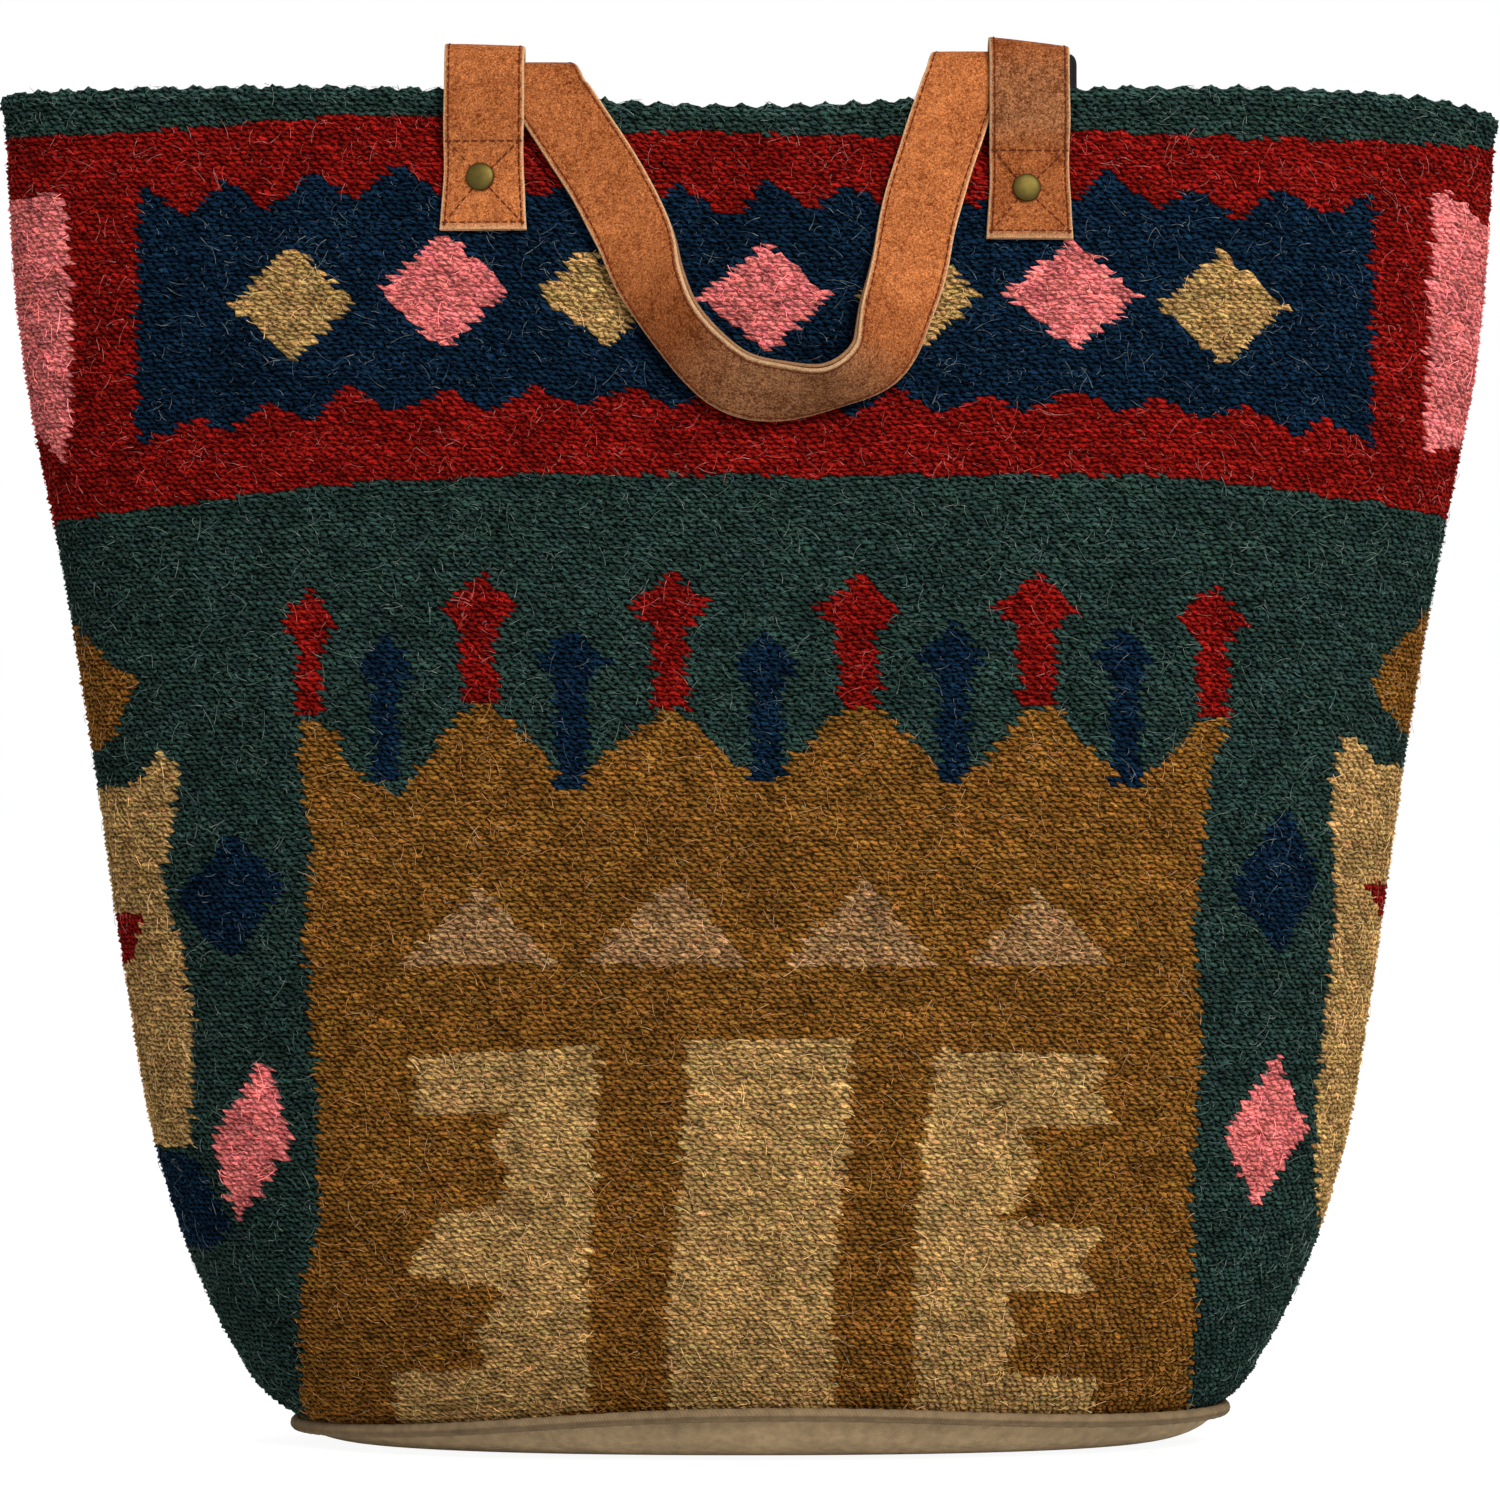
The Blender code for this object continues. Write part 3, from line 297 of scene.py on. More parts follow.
def seam_z(angle):
    """Height of the seam between the cloth and the base round the bag."""
    across = np.cos(angle) * FLOOR_HALF_WIDTH
    return SEAM_HEIGHT + SEAM_RISE * np.exp(-(across / SEAM_RISE_WIDTH) ** 2) + SEAM_TILT * across


def ring(angle, z, inset=0.0):
    """Points of the outer form at angles and heights, set in by some millimetres."""
    half_width, half_depth = half_sizes(z)
    sine = np.sin(angle)
    x = (half_width - inset) * signed_power(np.cos(angle), POWER)
    y = -(half_depth - inset) * signed_power(sine, POWER)
    swell = dent(x, z) * np.clip(sine * 4, -1, 1)
    return np.stack([x, y - swell, z + 0 * x], axis=-1)


def even_angles(shares, z):
    """Angles at which shares of the way round the bag lie, at one height."""
    fine = np.linspace(0, 2 * np.pi, FINE_ANGLES)
    points = ring(fine, np.full_like(fine, z))
    lengths = np.concatenate([[0], np.cumsum(np.linalg.norm(np.diff(points, axis=0), axis=1))])
    turns = np.floor(shares)
    return np.interp(shares - turns, lengths / lengths[-1], fine) + turns * 2 * np.pi


# Meshes

def put(name, data):
    """An object in the scene for a mesh, a lamp or a camera."""
    made = bpy.data.objects.new(name, data)
    bpy.context.collection.objects.link(made)
    return made


def make_object(name, points, faces, material, smooth=True):
    """An object from points in mm and faces that already face out."""
    mesh = bpy.data.meshes.new(name)
    mesh.from_pydata([Vector(point) * MM for point in points], [], faces)
    mesh.materials.append(material)
    if smooth:
        mesh.shade_smooth()
    return put(name, mesh)


def make_triangles(name, points, triangles, material):
    """An object of many triangles, from arrays."""
    mesh = bpy.data.meshes.new(name)
    mesh.vertices.add(len(points))
    mesh.vertices.foreach_set("co", (points * MM).ravel())
    mesh.loops.add(len(triangles) * 3)
    mesh.loops.foreach_set("vertex_index", triangles.ravel().astype(np.int32))
    mesh.polygons.add(len(triangles))
    mesh.polygons.foreach_set("loop_start", np.arange(0, len(triangles) * 3, 3, dtype=np.int32))
    mesh.update(calc_edges=True)
    mesh.materials.append(material)
    mesh.shade_smooth()
    return put(name, mesh)


def paint(made, name, colours):
    """A colour attribute with one colour for each face corner."""
    layer = made.data.color_attributes.new(name=name, type="FLOAT_COLOR", domain="CORNER")
    flat = np.concatenate([colours, np.ones((len(colours), 1))], axis=1)
    layer.data.foreach_set("color", flat.astype(np.float32).ravel())


def map_corners(made, name, places):
    """A UV map with one place for each corner of a face."""
    layer = made.data.uv_layers.new(name=name)
    layer.uv.foreach_set("vector", np.ascontiguousarray(places, np.float32).ravel())


def grid_faces(rows, columns, closed=False):
    """Quads of rings of points, and from the last ring back to the first if closed."""
    faces = []
    for row in range(rows if closed else rows - 1):
        above = (row + 1) % rows
        for column in range(columns):
            after = (column + 1) % columns
            faces.append((row * columns + column, above * columns + column,
                          above * columns + after, row * columns + after))
    return faces


def fan(start, count, centre):
    """Triangles from a centre to the points of a ring that begins at start."""
    return [(centre, start + (side + 1) % count, start + side) for side in range(count)]


def finish_piece(made, slot, *nodes):
    """Every piece rides on the one body and may stand for CAD nodes. The slot is not used."""
    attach(made, "root")
    if nodes:
        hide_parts(*nodes)
    return made


# Node trees: one class for a tree, one for a value in it

class Value:
    """A socket's value; arithmetic on it adds Math nodes."""

    def __init__(self, tree, socket):
        self.tree = tree
        self.socket = socket

    def math(self, operation, *others):
        return self.tree.add("ShaderNodeMath", dict(enumerate((self, *others))), operation=operation)

    def __add__(self, other):
        return self.math("ADD", other)

    def __mul__(self, other):
        return self.math("MULTIPLY", other)

    def __sub__(self, other):
        return self.math("SUBTRACT", other)

    def __rsub__(self, other):
        return self.tree.add("ShaderNodeMath", {0: other, 1: self}, operation="SUBTRACT")

    def __pow__(self, other):
        return self.math("POWER", other)

    __radd__ = __add__
    __rmul__ = __mul__


class Tree:
    """A node tree that is filled node by node."""

    def __init__(self, nodes):
        self.nodes = nodes

    def add(self, kind, sockets=None, out=0, **settings):
        """A node with its settings and the values or links of its sockets. Gives one output."""
        node = self.nodes.nodes.new(kind)
        for name, value in settings.items():
            setattr(node, name, value)
        for name, value in (sockets or {}).items():
            if isinstance(value, Value):
                self.nodes.links.new(value.socket, node.inputs[name])
            else:
                node.inputs[name].default_value = value
        return Value(self, node.outputs[out]) if len(node.outputs) else node

    def other(self, value, name):
        """Another output of the node that a value comes from."""
        return Value(self, value.socket.node.outputs[name])


class Finish(Tree):
    """A material made of one Principled shader and what feeds it."""

    def __init__(self, name):
        self.material = bpy.data.materials.new(name)
        self.material.use_nodes = True
        super().__init__(self.material.node_tree)
        self.nodes.nodes.clear()
        self.place = self.add("ShaderNodeTexCoord", out="Object")

    def noise(self, scale, detail=3.0, roughness=0.6, vector=None):
        return self.add("ShaderNodeTexNoise", {
            "Vector": vector or self.place, "Scale": scale, "Detail": detail, "Roughness": roughness})

    def stretched(self, scale):
        """Object coordinates stretched by a scale for each axis."""
        return self.add("ShaderNodeMapping", {"Vector": self.place, "Scale": scale})

    def mix(self, factor, low, high, blend="MIX"):
        """A mix of two colours."""
        return self.add("ShaderNodeMix", {0: factor, 6: self.colour(low), 7: self.colour(high)}, 2,
                        data_type="RGBA", blend_type=blend)

    def ranged(self, value, low, high, new_low=0.0, new_high=1.0, **settings):
        """A value moved from one range to another and kept within it."""
        sockets = dict(enumerate((value, low, high, new_low, new_high)))
        return self.add("ShaderNodeMapRange", sockets, **settings)

    @staticmethod
    def colour(value):
        return value if isinstance(value, Value) else (*value, 1)

    def shade(self, colour, factor):
        """A colour made darker or brighter by a value."""
        grey = self.add("ShaderNodeCombineColor", {0: factor, 1: factor, 2: factor})
        return self.mix(1.0, colour, grey, "MULTIPLY")

    def bump(self, height, distance, strength):
        return self.add("ShaderNodeBump", {"Height": height, "Distance": distance, "Strength": strength})

    def done(self, **sockets):
        """The Principled shader with its sockets, given as words joined by _, and the output."""
        named = {name.replace("_", " "): value for name, value in sockets.items()}
        shader = self.add("ShaderNodeBsdfPrincipled", named)
        self.add("ShaderNodeOutputMaterial", {"Surface": shader})
        return self.material


# Materials

def wool_finish():
    """Wool yarn: each bead is a ragged grain, with painted shade in the gaps where it dives under the next.
    """
    wool = Finish("wool_yarn")
    yarn = wool.add("ShaderNodeVertexColor", layer_name="yarn")
    place = wool.add("ShaderNodeSeparateXYZ", {0: wool.add("ShaderNodeUVMap", uv_map="bead")})
    upright = wool.other(place, "Y")
    lengthwise, sideways = place + upright - 1, place - upright
    ragged = wool.noise(900.0, 3.0, 0.65)
    streak = wool.noise(1.0, 3.0, 0.75, wool.stretched((620, 620, 1700)))
    reach = lengthwise * lengthwise * 1.3 + sideways * sideways * 3.2 + (ragged - 0.5) * 4.0
    # The crown is 1 on a bead and 0 in its gaps; the gaps are painted with shade, less for pale yarns
    crown = wool.ranged(reach, 1.45, 0.0, interpolation_type="SMOOTHSTEP")
    pale = wool.add("ShaderNodeSeparateColor", {0: yarn}) * 0.36 + 0.02
    patches = wool.noise(75.0, 3.0, 0.55)
    shade = (crown * (1 - pale) + pale) * (streak * 4.0 - 0.95) * (patches * 1.3 + 0.38)
    return wool.done(
        Base_Color=wool.shade(yarn, shade), Roughness=1.0, Specular_IOR_Level=0.02,
        Normal=wool.bump(crown * 0.7 + streak * 0.5, 0.0007, 0.9))


def suede_finish(name, dark, light, cut):
    """Napped leather, mottled and darkened by painted shade, with a pale cut edge and painted shade in the
    sunk stitching row.
    """
    suede = Finish(name)
    edge = suede.add("ShaderNodeSeparateColor", {0: suede.add("ShaderNodeVertexColor", layer_name="edge")})
    # Green darkens: painted shade where the strap hangs low, on its left half and on the right tab, and a
    # darker band on the tabs below the fold; blue paints shade into the sunk stitching rows
    worn, groove_and_shade = suede.other(edge, "Green"), suede.other(edge, "Blue")
    patches = suede.noise(60.0, 3.0, 0.6)
    mottle = suede.noise(330.0, 3.0, 0.6)
    nap = suede.noise(1000.0, 4.0, 0.7)
    depth = patches * 0.3 + mottle * 0.35 + nap * 0.9 - worn * 0.12 - groove_and_shade * 0.14
    tone = suede.ranged(depth, 0.56, 1.02)
    # Deep painted shade turns the suede to a duller, darker palette
    deep_shade_share = suede.ranged(worn, 0.6, 0.95, 0.0, 0.75)
    body = suede.mix(deep_shade_share, suede.mix(tone, dark, light), suede.mix(tone, SHADED_SUEDE_DARK, SHADED_SUEDE_LIGHT))
    grain = suede.noise(2000.0, 2.0)
    colour = suede.shade(suede.mix(edge, body, cut), (grain * 2.0) * (1 - worn * 0.29))
    return suede.done(Base_Color=colour, Roughness=1.0, Specular_IOR_Level=0.03,
                      Normal=suede.bump(nap * 0.7 + mottle * 0.5, 0.0006, 0.8))


# Near-black finish of the patches, which stand in for shade beside the tabs
def shade_black_finish():
    leather = Finish("black_leather")
    grain = leather.noise(700.0, 3.0)
    return leather.done(Base_Color=leather.mix(grain, (0.004, 0.0035, 0.004), (0.016, 0.013, 0.013)),
                        Roughness=0.75, Specular_IOR_Level=0.15, Normal=leather.bump(grain, 0.0002, 0.6))


def canvas_finish(name, colour, pitch):
    """Plain woven cloth on the piece's own flat map, in millimetres."""
    canvas = Finish(name)
    split = canvas.add("ShaderNodeSeparateXYZ", {0: canvas.add("ShaderNodeUVMap", uv_map="cut")})
    turn = 2 * math.pi / pitch
    weft = (split * turn).math("SINE")
    warp = (canvas.other(split, "Y") * turn).math("SINE")
    over = weft * warp
    height = over * 0.5 + 0.5
    streak = canvas.noise(260.0, 3.0)
    stain = canvas.noise(28.0, 2.0)
    shade = height * 0.4 + streak * 0.9 + stain * 0.5
    return canvas.done(Base_Color=canvas.shade(colour, shade), Roughness=0.9, Specular_IOR_Level=0.15,
                       Normal=canvas.bump(height + streak, 0.0003, 0.7))


def brass_finish():
    """Antiqued brass, mottled by its patina and duller in spots."""
    brass = Finish("antique_brass")
    patina = brass.noise(350.0, 3.0)
    spots = brass.noise(1400.0, 2.0)
    return brass.done(
        Base_Color=brass.mix(patina, (0.050, 0.037, 0.0095), (0.120, 0.087, 0.0210)), Metallic=1.0,
        Roughness=brass.ranged(spots, 0.0, 1.0, 0.42, 0.6),
        Normal=brass.bump(patina, 0.0001, 0.3))


def thread_finish():
    thread = Finish("stitching_thread")
    twist = thread.noise(1600.0, 2.0)
    return thread.done(Base_Color=thread.mix(twist, (0.060, 0.011, 0.005), (0.150, 0.032, 0.012)),
                       Roughness=0.9, Specular_IOR_Level=0.05)


def hair_finish():
    """Loose wool fibres, paler than the yarn that they come from."""
    hair = Finish("loose_fibre")
    yarn = hair.add("ShaderNodeAttribute", attribute_name="yarn")
    paler = hair.ranged(hair.noise(170.0, 1.0), 0.4, 0.68, 0.06, 0.42)
    return hair.done(Base_Color=hair.mix(paler, hair.shade(yarn, 2.6), (0.50, 0.52, 0.46)), Roughness=0.9,
                     Specular_IOR_Level=0.1)


SUEDE = suede_finish("tan_suede", (0.150, 0.031, 0.0065), (0.60, 0.200, 0.062), (0.60, 0.36, 0.19))
BACKING = suede_finish("suede_backing", (0.09, 0.028, 0.009), (0.22, 0.082, 0.031), (0.27, 0.135, 0.064))
SHADE_BLACK_LEATHER = shade_black_finish()
WOOL = wool_finish()
CANVAS = canvas_finish("base_canvas", (0.475, 0.345, 0.195), 1.15)
PIPING = canvas_finish("piping_cloth", (0.245, 0.168, 0.090), 0.9)
BRASS = brass_finish()
THREAD = thread_finish()
HAIR = hair_finish()


# The woven pattern, as seen from the front: each field is a yarn and an outline

HEAD_DROP = 11.7
NECK_DROP = 19.5
TRIANGLE_FOOT = 169.0
BEYOND = 300.0


def zigzag(peaks, dips):
    """Points that go up to each peak and down to each dip between them."""
    points = []
    for place, peak in enumerate(peaks):
        points.append(peak)
        if place < len(dips):
            points.append(dips[place])
    return points


def diamond(x, z, half_width, half_height, lean=0.0):
    """A diamond whose top leans to one side and its foot to the other."""
    top, foot = (x + lean, z + half_height), (x - lean, z - half_height)
    return [top, (x + half_width, z), foot, (x - half_width, z)]


def arrow(x, tip, head, stem, foot):
    """An arrow that stands on its stem and points up."""
    corner, neck = tip - HEAD_DROP, tip - NECK_DROP
    return [
        (x, tip), (x + head, corner), (x + stem, neck), (x + stem, foot),
        (x - stem, foot), (x - stem, neck), (x - head, corner),
    ]


def triangle(x, top, left, right):
    return [(x, top), (x + right, TRIANGLE_FOOT), (x - left, TRIANGLE_FOOT)]


def upper_fields():
    """The red band with its blue panel of diamonds, and the pink fields at the sides."""
    yield "red", [
        (-BEYOND, 455), (-233, 454), (-203, 455), (-148, 458.5), (-106, 458.5), (-40, 453), (45, 451),
        (110, 454), (140, 452), (BEYOND, 450), (BEYOND, 314), (244, 322), (179, 330.5), (146, 334.5),
        (34, 334), (-85, 334.5), (-147, 331), (-191, 326), (-244, 320), (-BEYOND, 312)]
    peaks = [
        (-211, 435.5), (-180, 437), (-150.5, 439.5), (-120.5, 442), (-86, 438), (-55, 436), (-23.5, 435),
        (5, 435.5), (34, 434.5), (63, 437), (93, 439), (122, 439.5), (152, 434), (182, 434.5), (215, 433.5)]
    dips = [
        (-194, 425), (-165, 426), (-135, 430), (-105, 430), (-72, 430), (-39, 425), (-7.5, 422),
        (21.5, 426), (49, 425), (76.5, 426), (110, 429), (140, 426.5), (168, 423), (200, 424.5)]
    feet = [
        (214, 345), (187, 348.5), (155, 353.5), (125, 356), (93, 355.5), (65.5, 354.5), (35, 354.5),
        (5, 355), (-25.5, 357), (-57.5, 357), (-89, 355.5), (-121, 355.5), (-151, 353), (-180, 349.5),
        (-211, 345)]
    arches = [
        (198, 355.5), (170.5, 359), (140.5, 362), (111, 364), (80, 362), (49.5, 365), (20, 364),
        (-10, 365), (-40.5, 365), (-73.5, 365), (-103, 364), (-137, 365.5), (-164.5, 360), (-188.5, 355)]
    yield "navy", zigzag(peaks, dips) + zigzag(feet, arches)
    for place, shape in enumerate((
            (-157, 394, 21.5, 20.5), (-104.5, 398, 23, 20.5), (-52.5, 395.5, 20, 17, -4),
            (5.5, 395.5, 22.5, 19), (57.5, 396, 21, 19.5), (110, 396.5, 23, 19), (162, 393, 22.5, 20))):
        yield ("sand", "pink")[place % 2], diamond(*shape)
    yield "pink", [
        (-BEYOND, 424), (-243.5, 435), (-237, 432), (-234, 362), (-238.5, 340), (-250, 353), (-BEYOND, 360)]
    yield "pink", [
        (BEYOND, 405), (254.5, 425), (241.5, 435), (236.5, 431), (234, 360), (233.5, 343), (247, 347),
        (BEYOND, 362)]


def lower_fields():
    """The peaked panel with its arrows, triangles and toothed blocks, and the side motifs."""
    yield "ochre", [
        (-152.5, 251.5), (-141, 247.5), (-135.5, 235), (-119, 225), (-97.5, 254), (-88, 257), (-79, 249),
        (-61, 229), (-41.5, 245.5), (-28, 255), (-17.5, 250), (-5, 236), (5.5, 231), (19, 242), (28, 253),
        (41, 257), (50, 249), (70, 229), (83, 242), (93, 255.5), (105, 254.5), (111.5, 244.5), (128, 230),
        (140, 236), (153, 250.5), (162, 252), (156, 230), (153, 204), (150, 185), (153, 150), (149, 90),
        (152, 50), (151, -5), (-155, -5), (-153, 56), (-145, 86), (-147, 135), (-151, 180), (-148.5, 212),
        (-152.5, 230)]
    for shape in ((-150, 296, 9.7, 4.4, 252), (-91.5, 301.5, 13.5, 6, 257), (-27, 301.5, 13.3, 5.7, 255),
                  (36.5, 300.5, 13.8, 6.3, 255.5), (97, 301, 14, 6, 256), (157.5, 297, 12.3, 5.3, 252)):
        yield "red", arrow(*shape)
    for shape in ((-123.5, 281.5, 9.5, 4.4, 230), (-60, 283, 12.2, 5.6, 228.5), (127, 283.5, 10.6, 5, 229.5),
                  (5.5, 281.5, 10.5, 5.4, 230.5), (68.5, 284.5, 11.6, 5, 230)):
        yield "navy", arrow(*shape)
    for shape in ((-90.5, 195.5, 27.5, 25), (-24.5, 198, 32, 25), (38.5, 197.5, 27.5, 24), (97, 194, 24, 26)):
        yield "rose", triangle(*shape)
    yield "sand", [
        (-21, 144), (34, 144.5), (33, 109), (28, 68), (28.5, 19), (-27.5, 17), (-28, 50), (-23, 102)]
    yield "sand", [
        (-50.5, 142), (-52.5, 95), (-55, 60), (-53.5, 17), (-119.5, 9), (-122, 29), (-89.5, 32.5),
        (-92.5, 45), (-81, 59.5), (-116, 64.5), (-103, 86), (-85.5, 88), (-80.5, 98), (-87, 108.5),
        (-79.5, 119.5), (-114, 118.5), (-111, 128.5), (-115, 138)]
    yield "sand", [
        (62.5, 141), (120, 139), (116, 127), (124.5, 114.5), (90, 114.5), (97.5, 100), (84.5, 82.5),
        (121, 80.5), (111, 68.5), (117, 58), (85, 58.5), (92, 43), (83.5, 31), (118.5, 27), (116, 13),
        (55.5, 17), (55.5, 74.5), (58, 109)]
    yield "navy", [(-176, 213), (-158, 196.5), (-167, 182), (-173.5, 171), (-183, 173.5), (-196, 190.5)]
    yield "navy", [(183, 221), (195, 197.5), (181, 171), (162.5, 194.5)]
    yield "pink", diamond(-169.5, 108.5, 15, 29, 5.5)
    yield "pink", diamond(176, 111, 15, 26.5, 3.5)
    yield "ochre", [
        (-BEYOND, 290), (-239, 288), (-221, 271), (-210.5, 265), (-219.5, 245.5), (-226.5, 241),
        (-BEYOND, 239)]
    yield "ochre", [
        (BEYOND, 293), (238, 291), (220.5, 275), (214, 265), (221, 253.5), (230.5, 243), (BEYOND, 241)]
    yield "sand", [
        (-201.5, 241), (-195.5, 234.5), (-197.5, 215), (-201.5, 202), (-199, 188), (-194, 172.5),
        (-190, 149), (-192, 104), (-BEYOND, 101), (-BEYOND, 210), (-211, 230.5)]
    yield "sand", [
        (203.5, 245.5), (207.5, 246.5), (215.5, 237), (BEYOND, 226), (BEYOND, 67), (200, 67), (196.5, 84),
        (194, 117), (201, 186), (199, 212), (200, 230)]
    yield "red", [(-BEYOND, 186), (-209, 185), (-209.5, 180), (-214, 167), (-BEYOND, 164)]
    yield "red", [(211.5, 195), (BEYOND, 193), (BEYOND, 180), (222, 181)]
    yield "navy", [(-193.5, 102.5), (-185, 93.5), (-178, 78), (-185, 69.5), (-BEYOND, 68), (-BEYOND, 101)]


def inside_outline(x, z, outline):
    """Which places lie inside an outline."""
    within = np.zeros(x.shape, bool)
    for (x0, z0), (x1, z1) in zip(outline, outline[1:] + outline[:1]):
        if z0 == z1:
            continue
        spans = (z0 > z) != (z1 > z)
        within ^= spans & (x < (x1 - x0) * (z - z0) / (z1 - z0) + x0)
    return within


def yarn_numbers(x, z, plain):
    """The yarn of each bead, by the last field that covers it."""
    names = list(YARNS)
    numbers = np.zeros(x.shape, int)
    x = x + SAW_DEPTH * (4 * np.abs(z / SAW_PITCH % 1 - 0.5) - 1)
    for yarn, outline in [*upper_fields(), *lower_fields()]:
        numbers[inside_outline(x, z, outline)] = names.index(yarn)
    numbers[plain] = 0
    return numbers


# The cloth

def edge_path(along, low, high):
    """Height and place through the wall, up the outside, over the twined edge and down the inside."""
    rise = high - EDGE_HEIGHT - low
    swell = EDGE_HEIGHT - EDGE_ROUND
    arc = math.pi * (EDGE_HALF + EDGE_ROUND) / 2
    down = EDGE_INSIDE - EDGE_ROUND
    travel = along * (rise + swell + arc + down)
    up = np.clip(travel - rise, 0, swell) / swell
    turn = np.clip(travel - rise - swell, 0, arc) / arc * np.pi
    back = np.clip(travel - rise - swell - arc, 0, down) / down
    z = low + np.minimum(travel, rise) + up * swell + EDGE_ROUND * np.sin(turn) - back * down
    bulge = EDGE_HALF - WALL / 2
    outer = WALL / 2 + bulge * (1 - np.cos(up * np.pi)) / 2
    inner = WALL / 2 + bulge * (1 + np.cos(np.clip(back * 2, 0, 1) * np.pi)) / 2
    through = np.where(turn <= 0, outer, np.where(turn >= np.pi, -inner, EDGE_HALF * np.cos(turn)))
    return z, through, turn


def sway(points):
    """Slow swells of the slack cloth, still where the leather is sewn on."""
    x, y, z = points[..., 0], points[..., 1], points[..., 2]
    calm = np.clip((SWAY_TOP - z) / SWAY_TOP_FADE, 0, 1) * np.clip((z - SWAY_FOOT) / SWAY_FOOT_FADE, 0, 1)
    small, large = np.sin(x / 31 + z / 57 + np.sign(y) * 0.8), np.sin(x / 67 - z / 43 + 1.9)
    return SWAY * calm * (small + large) / 2


def cloth_points(shares, along, angles):
    """Points of the cloth and their turn round the twined edge, at shares round and along."""
    z, through, turn = edge_path(along, seam_z(angles) + TOUCH, rim_z(angles))
    return ring(angles, z, WALL / 2 - through), turn


def wander(columns, rows):
    """Waves that never line up, about 1 high, for the uneven lie of the weft."""
    turns = 2 * np.pi * columns / COLUMNS
    return sum(np.sin(turns * across + rows * up + start) for across, up, start in WANDER_WAVES) / 2


def cloth_lattice(columns, rows):
    """Points, outward directions and edge turns of a slanting lattice of places."""
    waver, shift = wander(columns, rows), wander(rows + 40, columns + 90)
    shares = (columns + SHEAR * rows + WAVER_ALONG * shift) / COLUMNS
    along = (rows + WAVER * waver * np.clip(np.minimum(rows, ROWS - rows) / 3, 0, 1)) / ROWS
    angles = np.empty(shares.shape)
    for row in range(shares.shape[0]):
        middle, _, _ = edge_path(along[row, :1], seam_z(np.pi / 4) + TOUCH, rim_z(np.pi / 4))
        angles[row] = even_angles(shares[row], float(middle[0]))
    points, turn = cloth_points(shares, along, angles)
    aside, _ = cloth_points(shares, along, angles + NUDGE_ROUND)
    # The last row has nothing above it, so the way up is taken from a little below it
    short = np.minimum(along, 1 - NUDGE_UP)
    below, _ = cloth_points(shares, short, angles)
    above, _ = cloth_points(shares, short + NUDGE_UP, angles)
    out = np.cross(above - below, aside - points)
    out /= np.linalg.norm(out, axis=-1, keepdims=True)
    points = points + out * sway(points)[..., None]
    twine = TWINE_RISE * np.sin(turn) * np.cos(2 * np.pi * shares * TWINE_TURNS + turn)
    return points + out * twine[..., None], out, turn, angles


def roughened(chance, points, out, turn, lift, spread):
    """Points moved at random in and along the cloth, less in the tight twined edge."""
    calm = np.where(turn > 0, 1 - EDGE_CALM, 1.0)
    points = points + out * (chance.normal(lift, spread, turn.shape) * calm)[..., None]
    return points + chance.normal(0, BEAD_JITTER, points.shape) * (1 - np.abs(out)) * calm[..., None]


def woven_cloth():
    """The cloth as one bead for each pass of the weft, in a front and a rear panel."""
    chance = np.random.default_rng(SEED)
    columns, rows = np.meshgrid(np.arange(COLUMNS), np.arange(ROWS + 1))
    corners, out, turn, _ = cloth_lattice(columns, rows)
    corners = roughened(chance, corners, out, turn, -GROOVE, BEAD_JITTER / 2)
    columns, rows = np.meshgrid(np.arange(COLUMNS) + 0.5, np.arange(ROWS) + 0.5)
    middles, out, turn, angles = cloth_lattice(columns, rows)
    yarn = yarn_numbers(middles[..., 0], middles[..., 2], turn > 0)
    middles = roughened(chance, middles, out, turn, BEAD_RISE, BEAD_JITTER)
    points = np.concatenate([corners.reshape(-1, 3), middles.reshape(-1, 3)])

    tone = chance.normal(0, BEAD_SPREAD, yarn.shape) + chance.normal(0, ROW_SPREAD, (ROWS, 1))
    tone = np.exp(np.minimum(tone, BRIGHTEST)) * np.where(turn > 0, EDGE_PALER, 1.0)
    hue = np.exp(chance.normal(0, HUE_SPREAD, (*yarn.shape, 3)))
    colour = np.array(list(YARNS.values()))[yarn] * tone[..., None] * hue
    # Each bead is a fan round its middle m, from the lower corners a and b and the upper ones d and c
    number = np.arange(COLUMNS * (ROWS + 1)).reshape(ROWS + 1, COLUMNS)
    a, b = number[:-1], np.roll(number, -1, axis=1)[:-1]
    c, d = np.roll(number, -1, axis=1)[1:], number[1:]
    m = np.arange(COLUMNS * ROWS).reshape(ROWS, COLUMNS) + COLUMNS * (ROWS + 1)
    fans = np.stack([
        np.stack(fan, axis=-1) for fan in ((b, a, m), (c, b, m), (d, c, m), (a, d, m))], axis=2)
    ends = ((0, 0), (1, 0), (1, 1), (0, 1), (0, 0))
    bead = np.array([(ends[side + 1], ends[side], (0.5, 0.5)) for side in range(4)])
    front = np.sin(angles) >= 0
    panels = []
    for name, chosen in (("woven_front", front), ("woven_rear", ~front)):
        triangles = fans[chosen].reshape(-1, 3)
        used, places = np.unique(triangles, return_inverse=True)
        panel = make_triangles(name, points[used], places.reshape(-1, 3), WOOL)
        paint(panel, "yarn", np.repeat(colour[chosen], CORNERS_PER_BEAD, axis=0))
        map_corners(panel, "bead", np.tile(bead.reshape(-1, 2), (int(chosen.sum()), 1)))
        panels.append(finish_piece(panel, "wool", "woven_wall"))
    return panels


